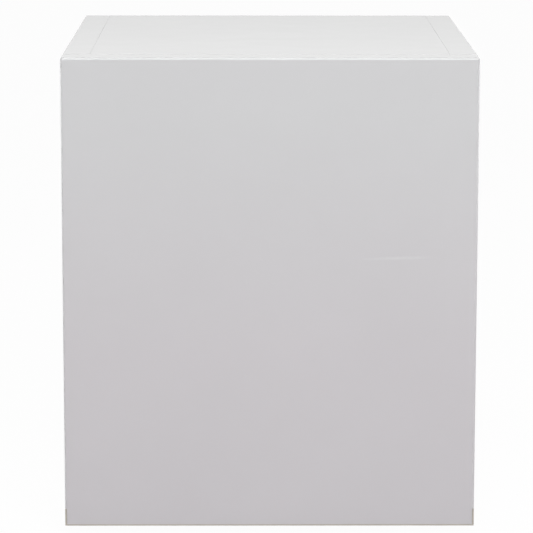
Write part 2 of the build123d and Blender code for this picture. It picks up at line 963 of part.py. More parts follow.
# Door balconies: troughs that hang on lugs of the door liner
def balcony(rise, tall, reach):
    """A trough with a leaning front, open at the top, with a slot at each end for its lug."""
    half = pocket_half - balcony_gap
    back = door_back + balcony_gap

    def side_profile(inset, top):
        """Side view of the trough, or of its inside when set in by a wall."""
        Polyline(
            (back + inset, rise + inset),
            (back + reach - balcony_lean - inset, rise + inset),
            (back + reach - inset, top),
            (back + inset, top),
            close=True,
        )

    with BuildPart() as trough:
        with BuildSketch(Plane.YZ):
            with BuildLine():
                side_profile(0.0, rise + tall)
            make_face()
        extrude(amount=half, both=True)
        leaning = trough.faces().sort_by(Axis.Y)[-1]
        fillet(leaning.edges().sort_by(Axis.Z)[:-1], balcony_radius)
    with BuildPart() as hollow:
        with BuildSketch(Plane.YZ):
            with BuildLine():
                side_profile(balcony_wall, rise + tall + balcony_wall)
            make_face()
        extrude(amount=half - balcony_wall, both=True)
        leaning = hollow.faces().sort_by(Axis.Y)[-1]
        fillet(leaning.edges().sort_by(Axis.Z)[:-1], balcony_radius - balcony_wall)
    with BuildPart() as shelf:
        add(trough.part)
        add(hollow.part, mode=Mode.SUBTRACT)
        for side in (-1, 1):
            span_box(
                tuple(sorted((side * half, side * (half - lug_reach - balcony_wall)))),
                (lug_y[0] - balcony_wall - slip, lug_y[1] + balcony_wall + slip),
                (rise, rise + lug_rise + lug_height + slip + balcony_wall),
            )
            span_box(
                tuple(sorted((side * (half + overrun), side * (half - lug_reach)))),
                (lug_y[0] - slip, lug_y[1] + slip),
                (rise - overrun, rise + lug_rise + lug_height + slip),
                mode=Mode.SUBTRACT,
            )
    return shelf.part


for name, sizes in balconies.items():
    keep(balcony(*sizes), name)

# Ice box: a rolled aluminium box with its refrigerant channel pressed into the floor
box_front = -ice_box_front
box_back = inner_back - hanger_height
box_x = (ice_box_left, ice_box_right)
box_z = (ice_box_bottom, ice_box_top)
with BuildPart() as evaporator:
    with BuildSketch(upright(box_back)):
        span_rectangle(box_x, box_z, radius=ice_box_radius)
    extrude(amount=box_back - box_front)
    with BuildSketch(upright(box_back - ice_box_wall)):
        span_rectangle(
            (box_x[0] + ice_box_wall, box_x[1] - ice_box_wall),
            (box_z[0] + ice_box_wall, box_z[1] - ice_box_wall),
            radius=ice_box_radius - ice_box_wall,
        )
    extrude(amount=box_back - box_front, mode=Mode.SUBTRACT)
    channel_x = (box_x[0] + 2 * ice_box_radius, box_x[1] - 2 * ice_box_radius)
    channel_y = (box_front + 2 * ice_box_radius, box_back - ice_box_radius)
    pitch = (channel_x[1] - channel_x[0]) / (channel_runs - 1)
    turns = []
    for run in range(channel_runs):
        x = channel_x[0] + run * pitch
        ends = channel_y if run % 2 else channel_y[::-1]
        turns += [(x, ends[0], box_z[0] + ice_box_wall), (x, ends[1], box_z[0] + ice_box_wall)]
    with BuildLine() as channel:
        FilletPolyline(*turns, radius=pitch * 0.4)
    with BuildSketch(Plane(origin=channel.line @ 0, z_dir=channel.line % 0)):
        Circle(channel_radius)
    sweep()
keep(evaporator.part, "evaporator")

hanger_spots = [
    (x, y)
    for x in (box_x[0] + 3 * hanger_radius, box_x[1] - 3 * hanger_radius)
    for y in (box_front + 3 * hanger_radius, box_back - 3 * hanger_radius)
]
with BuildPart() as evaporator_hangers:
    with BuildSketch(Plane.XY.offset(ice_box_top)):
        with Locations(*hanger_spots):
            Circle(hanger_radius)
    extrude(amount=hanger_height)
keep(evaporator_hangers.part, "evaporator_hangers")

with BuildPart() as evaporator_lines:
    with BuildSketch(upright(inner_back)):
        with GridLocations(6 * line_radius, 0, 2, 1):
            with Locations(((box_x[0] + box_x[1]) / 2, (box_z[0] + box_z[1]) / 2)):
                Circle(line_radius)
    extrude(amount=inner_back - box_back)
keep(evaporator_lines.part, "evaporator_lines")

# Ice box frame and flap: the flap hangs on two pins at its top edge and swings up to the front
frame_back = box_front
frame_front = frame_back - frame_depth
opening_x = (box_x[0] + frame_border - frame_lap, box_x[1] - frame_border + frame_lap)
opening_z = (box_z[0] + frame_border - frame_lap, box_z[1] - frame_border + frame_lap)
flap_front = frame_front + flap_gap
flap_pivot_y = flap_front + flap_thickness / 2
flap_pivot_z = opening_z[1] - flap_thickness / 2 - flap_gap
flap_x = (opening_x[0] + flap_gap, opening_x[1] - flap_gap)
flap_bottom = opening_z[0] + flap_gap
with BuildPart() as chiller_frame:
    with BuildSketch(upright(frame_back)):
        span_rectangle(
            (box_x[0] - frame_lap, box_x[1] + frame_lap),
            (box_z[0] - frame_lap, box_z[1] + frame_lap),
            radius=ice_box_radius,
        )
        span_rectangle(opening_x, opening_z, mode=Mode.SUBTRACT)
    extrude(amount=frame_depth)
    stop_levels = (opening_z[0], opening_z[0] + frame_border / 2)
    span_box(opening_x, (flap_front + flap_thickness + slip, frame_back), stop_levels)
    with BuildSketch(Plane.YZ.offset(flap_x[0] - flap_pin_reach)):
        with Locations((flap_pivot_y, flap_pivot_z)):
            Circle(flap_pin_radius + running_gap)
    extrude(amount=flap_x[1] - flap_x[0] + 2 * flap_pin_reach, mode=Mode.SUBTRACT)
keep(chiller_frame.part, "chiller_frame")

with BuildPart() as chiller_flap:
    with BuildSketch(Plane.YZ.offset(flap_x[0])):
        with Locations((flap_pivot_y, flap_pivot_z)):
            Circle(flap_thickness / 2)
        span_rectangle((flap_front, flap_front + flap_thickness), (flap_bottom, flap_pivot_z))
    extrude(amount=flap_x[1] - flap_x[0])
    panel_levels = (flap_bottom + 2 * frame_border, flap_pivot_z - frame_border)
    with BuildSketch(upright(flap_front)):
        span_rectangle(
            (flap_x[0] + 2 * frame_border, flap_x[1] - 2 * frame_border),
            panel_levels,
            radius=frame_border / 2,
        )
    extrude(amount=-flap_thickness / 3, mode=Mode.SUBTRACT)
    middle_x = (flap_x[0] + flap_x[1]) / 2
    with BuildSketch(Plane.XY.offset(flap_bottom)):
        with Locations((middle_x, flap_front)):
            SlotOverall(6 * flap_lip, 2 * flap_lip)
        span_rectangle((flap_x[0], flap_x[1]), (flap_front, flap_front + 2 * flap_lip), mode=Mode.SUBTRACT)
    extrude(amount=flap_thickness / 2)
    with BuildSketch(Plane.YZ.offset(flap_x[0] - flap_pin_reach + slip)):
        with Locations((flap_pivot_y, flap_pivot_z)):
            Circle(flap_pin_radius)
    extrude(amount=flap_x[1] - flap_x[0] + 2 * (flap_pin_reach - slip))
keep(chiller_flap.part, "chiller_flap")

# Drip tray: slides on the upper pair of ledges
tray_half = inner_half - ledge_reach - side_play
tray_front = frame_front - tray_front_reach
tray_back = inner_back - ledge_back_gap
with BuildPart() as drip_tray:
    with BuildSketch(Plane.XY.offset(tray_bottom)):
        span_rectangle((-tray_half, tray_half), (tray_front, tray_back), radius=liner_radius)
    extrude(amount=tray_height)
    with BuildSketch(Plane.XY.offset(tray_rim_bottom)):
        span_rectangle(
            (-tray_half - tray_rim, tray_half + tray_rim),
            (tray_front, tray_back),
            radius=liner_radius,
        )
        span_rectangle(
            (-6 * tray_rim, 6 * tray_rim),
            (tray_front - 1.5 * tray_rim, tray_front + tray_rim),
            radius=tray_rim,
        )
    extrude(amount=tray_wall)
    fillet(drip_tray.faces().sort_by(Axis.Z)[0].edges(), 2 * tray_wall)
    with BuildSketch(Plane.XY.offset(tray_bottom + tray_wall)):
        span_rectangle(
            (-tray_half + tray_wall, tray_half - tray_wall),
            (tray_front + tray_wall, tray_back - tray_wall),
            radius=liner_radius - tray_wall,
        )
    extrude(amount=tray_height, mode=Mode.SUBTRACT)
keep(drip_tray.part, "drip_tray")

# Thermostat: a housing under the ceiling beside the ice box, with the knob on its front
stat_right = inner_half - liner_side_radius - slip
stat_x = (stat_right - thermostat_width, stat_right)
stat_front = frame_front
stat_back = stat_front + thermostat_depth
stat_z = (inner_top - thermostat_height, inner_top)
knob_x = (stat_x[0] + stat_x[1]) / 2
knob_z = (stat_z[0] + stat_z[1]) / 2
with BuildPart() as thermostat_housing:
    span_box(stat_x, (stat_front, stat_back), stat_z)
    fillet(thermostat_housing.edges().filter_by(Axis.Z), thermostat_radius)
    fillet(thermostat_housing.faces().sort_by(Axis.Z)[0].edges(), thermostat_wall)
    span_box(
        (stat_x[0] + thermostat_wall, stat_x[1] - thermostat_wall),
        (stat_front + thermostat_wall, stat_back - thermostat_wall),
        (stat_z[0] + thermostat_wall, stat_z[1] + overrun),
        mode=Mode.SUBTRACT,
    )
    with BuildSketch(upright(stat_front + thermostat_wall)):
        with Locations((knob_x, knob_z)):
            Circle(neck_radius + slip)
    extrude(amount=thermostat_wall, mode=Mode.SUBTRACT)
keep(thermostat_housing.part, "thermostat_housing")

switch_half = 2.6 * neck_radius
switch_back = stat_front + thermostat_wall + 2 * switch_half
with BuildPart() as thermostat_body:
    span_box(
        (knob_x - switch_half, knob_x + switch_half),
        (stat_front + thermostat_wall, switch_back),
        (knob_z - switch_half, knob_z + switch_half),
    )
    with BuildSketch(upright(stat_front + thermostat_wall)):
        with Locations((knob_x, knob_z)):
            Circle(neck_radius)
    extrude(amount=thermostat_wall)
    with BuildSketch(upright(switch_back - neck_radius)):
        with Locations((knob_x, knob_z)):
            Circle(shaft_radius + running_gap)
    extrude(amount=shaft_length, mode=Mode.SUBTRACT)
keep(thermostat_body.part, "thermostat_body")

knob_back = stat_front - slip
knob_front = knob_back - knob_height
shaft_front = knob_back - knob_height / 2
with BuildPart() as thermostat_shaft:
    with BuildSketch(upright(shaft_front + shaft_length)):
        with Locations((knob_x, knob_z)):
            Circle(shaft_radius)
    extrude(amount=shaft_length)
keep(thermostat_shaft.part, "thermostat_shaft")

with BuildPart() as thermostat_knob:
    with BuildSketch(upright(knob_back)):
        with Locations((knob_x, knob_z)):
            Circle(knob_skirt_radius)
    extrude(amount=knob_skirt)
    with BuildSketch(upright(knob_back)):
        with Locations((knob_x, knob_z)):
            Circle(knob_radius)
            with PolarLocations(knob_radius, knob_grips):
                Circle(knob_grip_radius, mode=Mode.SUBTRACT)
    extrude(amount=knob_height, taper=2)
    with BuildSketch(upright(knob_front)):
        with Locations((knob_x, knob_z + knob_radius * 0.62)):
            SlotOverall(knob_radius * 0.5, knob_grip_radius * 2, rotation=90)
    extrude(amount=-knob_grip_radius, mode=Mode.SUBTRACT)
    with BuildSketch(upright(knob_back)):
        with Locations((knob_x, knob_z)):
            Circle(shaft_radius)
    extrude(amount=knob_height / 2, mode=Mode.SUBTRACT)
keep(thermostat_knob.part, "thermostat_knob")

# Shelf: a glass plate on the lower pair of ledges, with a clip-on trim at the front and the back
glass_half = inner_half - side_play
trim_half = inner_half - ledge_reach - side_play
shelf_front = cab_front + shelf_front_gap
shelf_back = inner_back - shelf_back_gap
glass_top = shelf_level + shelf_glass_thickness
glass_front = shelf_front + trim_lip
glass_back = shelf_back - trim_lip
with BuildPart() as shelf_glass:
    with BuildSketch(Plane.XY.offset(shelf_level)):
        span_rectangle((-glass_half, glass_half), (glass_front, glass_back), radius=2 * trim_lip)
    extrude(amount=shelf_glass_thickness)
keep(shelf_glass.part, "shelf_glass")


def shelf_trim(name, edge, inward, top):
    """A channel that grips one edge of the glass; inward is 1 at the front and -1 at the back."""
    glass_edge = edge + inward * trim_lip
    open_edge = edge + inward * trim_depth
    with BuildPart() as trim:
        with BuildSketch(Plane.YZ.offset(-trim_half)):
            span_rectangle(tuple(sorted((edge, open_edge))), (shelf_level - trim_lip, glass_top + trim_lip))
            span_rectangle(tuple(sorted((edge, glass_edge))), (shelf_level - trim_lip, top))
        extrude(amount=2 * trim_half)
        fillet(trim.edges().filter_by(Axis.X).sort_by(Axis.Y)[0 if inward > 0 else -1], trim_lip / 2)
        fillet(trim.edges().filter_by(Axis.X).group_by(Axis.Z)[-1], trim_lip / 3)
        with BuildSketch(Plane.XY.offset(shelf_level)):
            span_rectangle((-glass_half, glass_half), (glass_front, glass_back), radius=2 * trim_lip)
        extrude(amount=shelf_glass_thickness, mode=Mode.SUBTRACT)
    keep(trim.part, name)


shelf_trim("shelf_front_trim", shelf_front, 1, glass_top + trim_lip)
shelf_trim("shelf_rear_trim", shelf_back, -1, glass_top + rear_trim_height)

# Compressor: a welded shell of two drawn halves on a plate with four rubber grommets
weld_level = shell_bottom + compressor_height * 0.45
stub_level = shell_bottom + terminal_rise
stub_reach = compressor_length / 2 + stub_length
with BuildPart() as compressor_shell:
    with BuildSketch(Plane.XY.offset(shell_bottom)):
        with Locations((compressor_x, compressor_y)):
            RectangleRounded(compressor_length, compressor_breadth, compressor_corner)
    extrude(amount=compressor_height)
    fillet(compressor_shell.faces().sort_by(Axis.Z)[-1].edges(), compressor_dome)
    fillet(compressor_shell.faces().sort_by(Axis.Z)[0].edges(), compressor_dome / 3)
    with BuildSketch(Plane.XY.offset(weld_level)):
        with Locations((compressor_x, compressor_y)):
            RectangleRounded(
                compressor_length + 2 * weld_rim,
                compressor_breadth + 2 * weld_rim,
                compressor_corner + weld_rim,
            )
    extrude(amount=weld_height)
    with BuildSketch(Plane.YZ.offset(compressor_x)):
        with Locations((compressor_y, stub_level)):
            Circle(stub_radius)
    extrude(amount=stub_reach, both=True)
keep(compressor_shell.part, "compressor_shell")

bolt_spots = [
    (compressor_x + dx, compressor_y + dy)
    for dx in (-mount_bolt_x, mount_bolt_x)
    for dy in (-mount_bolt_y, mount_bolt_y)
]
with BuildPart() as compressor_mount:
    with BuildSketch(Plane.XY.offset(mount_bottom)):
        with Locations((compressor_x, compressor_y)):
            RectangleRounded(mount_length, mount_breadth, grommet_waist)
            with Locations((0, mount_breadth / 2), (0, -mount_breadth / 2)):
                SlotOverall(mount_length * 0.5, mount_breadth * 0.3, mode=Mode.SUBTRACT)
        with Locations(*bolt_spots):
            Circle(grommet_waist, mode=Mode.SUBTRACT)
    extrude(amount=mount_plate)
keep(compressor_mount.part, "compressor_mount")

with BuildPart() as compressor_grommets:
    with BuildSketch(Plane.XY.offset(rail_top)):
        with Locations(*bolt_spots):
            Circle(grommet_radius)
    extrude(amount=grommet_base)
    with BuildSketch(Plane.XY.offset(rail_top)):
        with Locations(*bolt_spots):
            Circle(grommet_waist)
    extrude(amount=grommet_base + mount_plate)
    with BuildSketch(Plane.XY.offset(shell_bottom)):
        with Locations(*bolt_spots):
            Circle((grommet_radius + grommet_waist) / 2)
    extrude(amount=grommet_top)
    with BuildSketch(Plane.XY.offset(rail_top)):
        with Locations(*bolt_spots):
            Circle(bolt_radius)
    extrude(amount=grommet_base + mount_plate + grommet_top, mode=Mode.SUBTRACT)
keep(compressor_grommets.part, "compressor_grommets")

bolt_seat = shell_bottom + grommet_top
with BuildPart() as compressor_bolts:
    with BuildSketch(Plane.XY.offset(rail_top - rail_thickness)):
        with Locations(*bolt_spots):
            Circle(bolt_radius)
    extrude(amount=bolt_seat - rail_top + rail_thickness)
    with BuildSketch(Plane.XY.offset(bolt_seat)):
        with Locations(*bolt_spots):
            RegularPolygon(2 * bolt_radius, 6)
    extrude(amount=bolt_head)
keep(compressor_bolts.part, "compressor_bolts")

rail_half = mount_bolt_y + grommet_radius + rail_margin + rail_thickness
rail_y = (compressor_y - rail_half, compressor_y + rail_half)
rear_foot_y = rail_y[1] - 2 * rear_foot_radius
with BuildPart() as compressor_rail:
    with BuildSketch(Plane.YZ):
        with BuildLine():
            Polyline(
                (rail_y[0], rail_top + rail_turn_up),
                (rail_y[0], rail_top - rail_thickness),
                (rail_y[1], rail_top - rail_thickness),
                (rail_y[1], rail_top + rail_turn_up),
                (rail_y[1] - rail_thickness, rail_top + rail_turn_up),
                (rail_y[1] - rail_thickness, rail_top),
                (rail_y[0] + rail_thickness, rail_top),
                (rail_y[0] + rail_thickness, rail_top + rail_turn_up),
                close=True,
            )
        make_face()
    extrude(amount=half_width - fold_radius, both=True)
    with BuildSketch(Plane.XY.offset(rail_top - rail_thickness)):
        with Locations(*bolt_spots):
            Circle(bolt_radius)
        with Locations((-foot_x, rear_foot_y), (foot_x, rear_foot_y)):
            Circle(rear_foot_stem)
    extrude(amount=rail_thickness, mode=Mode.SUBTRACT)
keep(compressor_rail.part, "compressor_rail")

terminal_y = compressor_y + compressor_breadth / 2 + weld_rim
terminal_z = (shell_bottom + terminal_rise, shell_bottom + terminal_rise + terminal_height)
with BuildPart() as terminal_cover:
    span_box(
        (compressor_x - terminal_width / 2, compressor_x + terminal_width / 2),
        (terminal_y, terminal_y + terminal_depth),
        terminal_z,
    )
    fillet(terminal_cover.faces().sort_by(Axis.Y)[-1].edges(), weld_rim)
keep(terminal_cover.part, "terminal_cover")

gland_y = terminal_y + terminal_depth / 2
with BuildPart() as cord_gland:
    with BuildSketch(Plane.XY.offset(terminal_z[0] - gland_length)):
        with Locations((compressor_x, gland_y)):
            Circle(gland_radius)
            Circle(gland_bore, mode=Mode.SUBTRACT)
    extrude(amount=gland_length)
    fillet(cord_gland.edges().group_by(Axis.Z)[0], (gland_radius - gland_bore) / 4)
keep(cord_gland.part, "cord_gland")

# Condenser: a tube bent to and fro behind the cabinet, with wires across it
run_pitch = (condenser_top - condenser_bottom) / (condenser_runs - 1)
drier_x = -condenser_half_width - riser_gap
drier_top = niche_top - drier_neck
coil_points = []
for run in range(condenser_runs):
    level = condenser_top - run * run_pitch
    ends = (condenser_half_width, -condenser_half_width)
    start, stop = ends if run % 2 == 0 else ends[::-1]
    coil_points += [(start, condenser_y, level), (stop, condenser_y, level)]
coil_points[-1] = (drier_x, condenser_y, condenser_bottom)
coil_points.append((drier_x, condenser_y, drier_top))
keep(tube(coil_points, condenser_tube_radius, min(tube_bend, run_pitch * 0.4)), "condenser_tube")

wire_offset = condenser_tube_radius + wire_radius + running_gap
wire_bottom = condenser_bottom - wire_overhang
wire_room = condenser_half_width - 2 * tube_bend
wire_spacing = 2 * wire_room / (wire_count - 1)
with BuildPart() as condenser_wires:
    for turn in (-1, 1):
        with BuildSketch(Plane.XY.offset(wire_bottom)):
            with Locations((0, condenser_y + turn * wire_offset)):
                with GridLocations(wire_spacing, 0, wire_count, 1):
                    Circle(wire_radius)
        extrude(amount=condenser_top + wire_overhang - wire_bottom)
keep(condenser_wires.part, "condenser_wires")

clip_levels = (condenser_top - run_pitch, condenser_bottom + run_pitch)
clip_x = wire_room - wire_spacing / 2
with BuildPart() as condenser_clips:
    for level in clip_levels:
        for side in (-1, 1):
            span_box(
                (side * clip_x - clip_width / 2 + wire_radius, side * clip_x + clip_width / 2 - wire_radius),
                (back_face, condenser_y),
                (level - clip_height / 2, level + clip_height / 2),
            )
            with BuildSketch(Plane.YZ.offset(side * clip_x - clip_width)):
                with Locations((condenser_y, level)):
                    Circle(condenser_tube_radius + running_gap)
            extrude(amount=2 * clip_width, mode=Mode.SUBTRACT)
keep(condenser_clips.part, "condenser_clips")

# Filter drier, capillary, discharge, suction and process tubes
drier_bottom = drier_top - drier_length
with BuildPart() as filter_drier:
    with BuildSketch(Plane.XZ.offset(-condenser_y)):
        with BuildLine():
            Polyline(
                (drier_x, drier_top),
                (drier_x + condenser_tube_radius * 1.4, drier_top),
                (drier_x + drier_radius, drier_top - drier_neck),
                (drier_x + drier_radius, drier_bottom + drier_neck),
                (drier_x + capillary_radius * 1.6, drier_bottom),
                (drier_x, drier_bottom),
                close=True,
            )
        make_face()
    revolve(axis=Axis((drier_x, condenser_y, 0), (0, 0, 1)))
keep(filter_drier.part, "filter_drier")

capillary_low = drier_bottom - 2 * tube_bend
keep(
    tube(
        [
            (drier_x, condenser_y, drier_bottom),
            (drier_x, condenser_y, capillary_low),
            (drier_x, niche_front, capillary_low),
        ],
        capillary_radius,
        tube_bend,
    ),
    "capillary_tube",
)

riser_x = condenser_half_width + riser_gap
keep(
    tube(
        [
            (compressor_x + stub_reach, compressor_y, stub_level),
            (riser_x, compressor_y, stub_level),
            (riser_x, condenser_y, stub_level),
            (riser_x, condenser_y, condenser_top),
            (condenser_half_width, condenser_y, condenser_top),
        ],
        condenser_tube_radius,
        tube_bend,
    ),
    "discharge_tube",
)
suction_x = compressor_x - stub_reach - 2 * tube_bend
keep(
    tube(
        [
            (compressor_x - stub_reach, compressor_y, stub_level),
            (suction_x, compressor_y, stub_level),
            (suction_x, compressor_y, niche_top),
        ],
        suction_radius,
        tube_bend,
    ),
    "suction_tube",
)

process_x = compressor_x - compressor_length / 2
process_level = stub_level + process_rise
with BuildPart() as process_tube:
    with BuildSketch(Plane.YZ.offset(process_x - process_length)):
        with Locations((compressor_y, process_level)):
            Circle(process_radius)
    extrude(amount=process_length)
    with BuildSketch(Plane.YZ.offset(process_x - process_length)):
        with Locations((compressor_y, process_level)):
            Circle(process_radius)
    with BuildSketch(Plane.YZ.offset(process_x - process_length - process_crimp)):
        with Locations((compressor_y, process_level)):
            SlotOverall(2.6 * process_radius, process_radius / 2)
    loft()
keep(process_tube.part, "process_tube")

# Feet: two levelling feet on studs at the front, two fixed feet at the rear
for side, name in ((-1, "front_left_foot"), (1, "front_right_foot")):
    with BuildPart() as foot:
        with BuildSketch(Plane.XZ.offset(-foot_y)):
            with BuildLine():
                Polyline(
                    (side * foot_x, 0),
                    (side * foot_x + front_foot_radius * 0.85, 0),
                    (side * foot_x + front_foot_radius, front_foot_radius * 0.15),
                    (side * foot_x + front_foot_radius, foot_height * 0.55),
                    (side * foot_x + front_foot_radius * 0.75, base_level - slip),
                    (side * foot_x + stud_radius, base_level - slip),
                    (side * foot_x + stud_radius, stud_top),
                    (side * foot_x, stud_top),
                    close=True,
                )
            make_face()
        revolve(axis=Axis((side * foot_x, foot_y, 0), (0, 0, 1)))
        with BuildSketch(Plane.XY):
            with Locations((side * foot_x, foot_y)):
                with PolarLocations(front_foot_radius + scallop_radius - scallop_depth, foot_scallops):
                    Circle(scallop_radius)
        extrude(amount=foot_height, mode=Mode.SUBTRACT)
    keep(foot.part, name)

with BuildPart() as foot_nuts:
    with BuildSketch(Plane.XY.offset(base_level + sheet)):
        with Locations((-foot_x, foot_y), (foot_x, foot_y)):
            RegularPolygon(nut_radius, 6)
            Circle(stud_radius + stud_clear, mode=Mode.SUBTRACT)
    extrude(amount=nut_height)
keep(foot_nuts.part, "foot_nuts")

with BuildPart() as rear_feet:
    with BuildSketch(Plane.XY):
        with Locations((-foot_x, rear_foot_y), (foot_x, rear_foot_y)):
            Circle(rear_foot_radius)
    extrude(amount=rail_top - rail_thickness)
    fillet(rear_feet.edges().group_by(Axis.Z)[0], sheet)
    with BuildSketch(Plane.XY):
        with Locations((-foot_x, rear_foot_y), (foot_x, rear_foot_y)):
            Circle(rear_foot_stem)
    extrude(amount=rail_top)
keep(rear_feet.part, "rear_feet")
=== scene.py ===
# %% [markdown]
# A small plain refrigerator, dressed for a studio picture.
# The construction comes in as a fixed frame: every piece is already in place, in metres, and rides
# on the body that it moves with. This lesson gives each piece the finish of its real material, adds
# the small details that are printed or pressed on the real thing, and sets up the camera and the
# light.

# %% Load the frame
import math

import bmesh
import bpy
from mathutils import Euler, Matrix, Vector


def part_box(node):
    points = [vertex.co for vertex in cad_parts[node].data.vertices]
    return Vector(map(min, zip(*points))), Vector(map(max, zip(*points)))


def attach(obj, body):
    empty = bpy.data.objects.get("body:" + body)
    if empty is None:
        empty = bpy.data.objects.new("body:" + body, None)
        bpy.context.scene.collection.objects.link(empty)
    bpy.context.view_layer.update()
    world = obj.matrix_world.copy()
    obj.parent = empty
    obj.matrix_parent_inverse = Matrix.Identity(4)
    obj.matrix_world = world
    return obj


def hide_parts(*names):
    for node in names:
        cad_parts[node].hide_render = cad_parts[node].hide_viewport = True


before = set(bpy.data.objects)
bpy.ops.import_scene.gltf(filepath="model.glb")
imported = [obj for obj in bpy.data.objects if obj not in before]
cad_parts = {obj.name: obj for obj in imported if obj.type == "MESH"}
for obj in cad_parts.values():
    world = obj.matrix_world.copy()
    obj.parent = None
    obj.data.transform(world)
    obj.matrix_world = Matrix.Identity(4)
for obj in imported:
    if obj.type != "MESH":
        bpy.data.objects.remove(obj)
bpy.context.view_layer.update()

# %% [markdown]
# The camera stands about three metres in front of the door, a little higher than the top, and looks
# down by some ten degrees. From so far away the box hardly tapers, so the lens is a long one. A
# camera could be aimed at a target by a constraint; here its place and its three angles are set as
# numbers, which repeats exactly. The lens was found in pixels: divided by the picture's width in
# pixels and times the sensor's width, that gives the millimetres which Blender asks for.

# %% Camera
MM = 0.001
picture_width_px = 533
focal_length_px = 2880.3
camera_place = Vector((-20.4, -3243.2, 837.6)) * MM
camera_pitch = math.radians(10.258)
camera_yaw = math.radians(-0.320)
camera_roll = math.radians(0.060)
looking_level = math.pi / 2

camera_data = bpy.data.cameras.new("studio_camera")
camera_data.lens = focal_length_px / picture_width_px * camera_data.sensor_width
camera = bpy.data.objects.new("studio_camera", camera_data)
bpy.context.scene.collection.objects.link(camera)
aim = Euler((looking_level - camera_pitch, 0.0, camera_yaw)).to_matrix().to_4x4()
roll = Matrix.Rotation(camera_roll, 4, "Z")
camera.matrix_world = Matrix.Translation(camera_place) @ aim @ roll
bpy.context.scene.camera = camera
print("camera: lens", round(camera_data.lens, 1), "mm")

# %% [markdown]
# Two helpers carry all the materials. A hex colour, as a paint chart gives it, has to become linear
# light before a shader can use it. A node is added with its options and its inputs in one call,
# where an input is either a plain value or the output of a node that was made before. A Mix node
# has several sockets of the same name, so those for colours are told apart by their numbers.

# %% Colour and node helpers
SHARE, FIRST, SECOND, MIXED = 0, 6, 7, 2


def linear(hex_colour):
    """A colour such as #E0E0E0 as the linear red, green, blue and alpha that sockets take."""
    channels = [int(hex_colour[i:i + 2], 16) / 255 for i in (1, 3, 5)]
    light = [c / 12.92 if c <= 0.04045 else ((c + 0.055) / 1.055) ** 2.4 for c in channels]
    return (*light, 1.0)


def add_node(tree, kind, inputs=(), **options):
    """Add a node, set its options, and set or link its inputs, which are named or numbered."""
    node = tree.nodes.new(kind)
    for option, value in options.items():
        setattr(node, option, value)
    for socket, value in dict(inputs).items():
        if isinstance(value, bpy.types.NodeSocket):
            tree.links.new(value, node.inputs[socket])
        else:
            node.inputs[socket].default_value = value
    return node


print("helpers ready; mid grey is", [round(c, 3) for c in linear("#808080")])

# %% [markdown]
# Every finish starts in the same way: an empty material, and the place on the piece in metres,
# which its patterns read. A pattern's scale is worked out from a real size, so that grain stays
# grain on a small piece and on a large one. A finish is then put on a piece as its only material.

# %% Finish helpers
def new_finish(name):
    """An empty material, its node tree and the place on the piece that its patterns read."""
    material = bpy.data.materials.new(name)
    material.use_nodes = True
    tree = material.node_tree
    tree.nodes.clear()
    place = add_node(tree, "ShaderNodeTexCoord").outputs["Object"]
    return material, tree, place


def per_metre(size_mm):
    """The texture scale at which one patch of a pattern is this many millimetres wide."""
    return 1.0 / (size_mm * MM)


def put_on(finish, piece):
    """Make a finish the only material of a piece."""
    piece.data.materials.clear()
    piece.data.materials.append(finish)


def dress(finish, *names):
    """Give these frame nodes one finish."""
    for name in names:
        put_on(finish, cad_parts[name])
    print(finish.name, "on", ", ".join(names))


print("a grain of 2 mm has the scale", per_metre(2.0))

# %% [markdown]
# The stage is a plain pale floor under a white sky. A floor that only glows would be pure white and
# show no shadow, and a floor that is only lit would be grey. So it is a mix: to the eye, also in
# reflections and through clear plastic, nearly all of it glows white, and the small rest is shaded,
# which shows the soft shadow. To the light that falls on the object it is a mid grey, so that the
# lower part of the door isn't lit from below. Seen from underneath it is clear, so that the
# underside of the object can be looked at.

# %% Floor
white = linear("#FFFFFF")
floor_size = 40.0
floor_white_share = 0.97


def seen_by_eye(tree):
    """An output that is 1 for what the eye sees, also in gloss and glass, and else 0."""
    rays = add_node(tree, "ShaderNodeLightPath")
    seen = add_node(tree, "ShaderNodeMath", {
        0: rays.outputs["Is Camera Ray"], 1: rays.outputs["Is Glossy Ray"]}, operation="ADD")
    seen = add_node(tree, "ShaderNodeMath", {
        0: seen.outputs[0], 1: rays.outputs["Is Transmission Ray"]},
        operation="ADD", use_clamp=True)
    return seen.outputs[0]


floor_paper, tree, _ = new_finish("studio_paper")
seen = seen_by_eye(tree)
white_share = add_node(tree, "ShaderNodeMath", {0: seen, 1: floor_white_share},
                       operation="MULTIPLY")
paper_tone = add_node(tree, "ShaderNodeMix", {
    SHARE: seen, FIRST: linear("#BFBEC3"), SECOND: white}, data_type="RGBA")
paper = add_node(tree, "ShaderNodeBsdfDiffuse", {"Color": paper_tone.outputs[MIXED]})
glow = add_node(tree, "ShaderNodeEmission", {"Color": white, "Strength": 1.0})
upper_face = add_node(tree, "ShaderNodeMixShader", {
    0: white_share.outputs[0], 1: paper.outputs[0], 2: glow.outputs[0]})
facing = add_node(tree, "ShaderNodeNewGeometry")
clear = add_node(tree, "ShaderNodeBsdfTransparent")
both_faces = add_node(tree, "ShaderNodeMixShader", {
    0: facing.outputs["Backfacing"], 1: upper_face.outputs[0], 2: clear.outputs[0]})
add_node(tree, "ShaderNodeOutputMaterial", {"Surface": both_faces.outputs[0]})

bpy.ops.object.select_all(action="DESELECT")
bpy.ops.mesh.primitive_plane_add(size=floor_size, location=(0.0, 0.0, 0.0))
floor = bpy.context.object
floor.name = "studio_floor"
put_on(floor_paper, floor)
print("floor:", floor_size, "m square")

# %% [markdown]
# The sky is white to the eye as well, like a page. As a light it is dim, because the lamps do the
# lighting. It is a little less dim at the back, where no lamp stands: its strength follows how far
# a direction points backwards, which needs no lamp that could shine on the front.

# %% Sky
front_sky_light = 0.18
rear_sky_light = 0.38

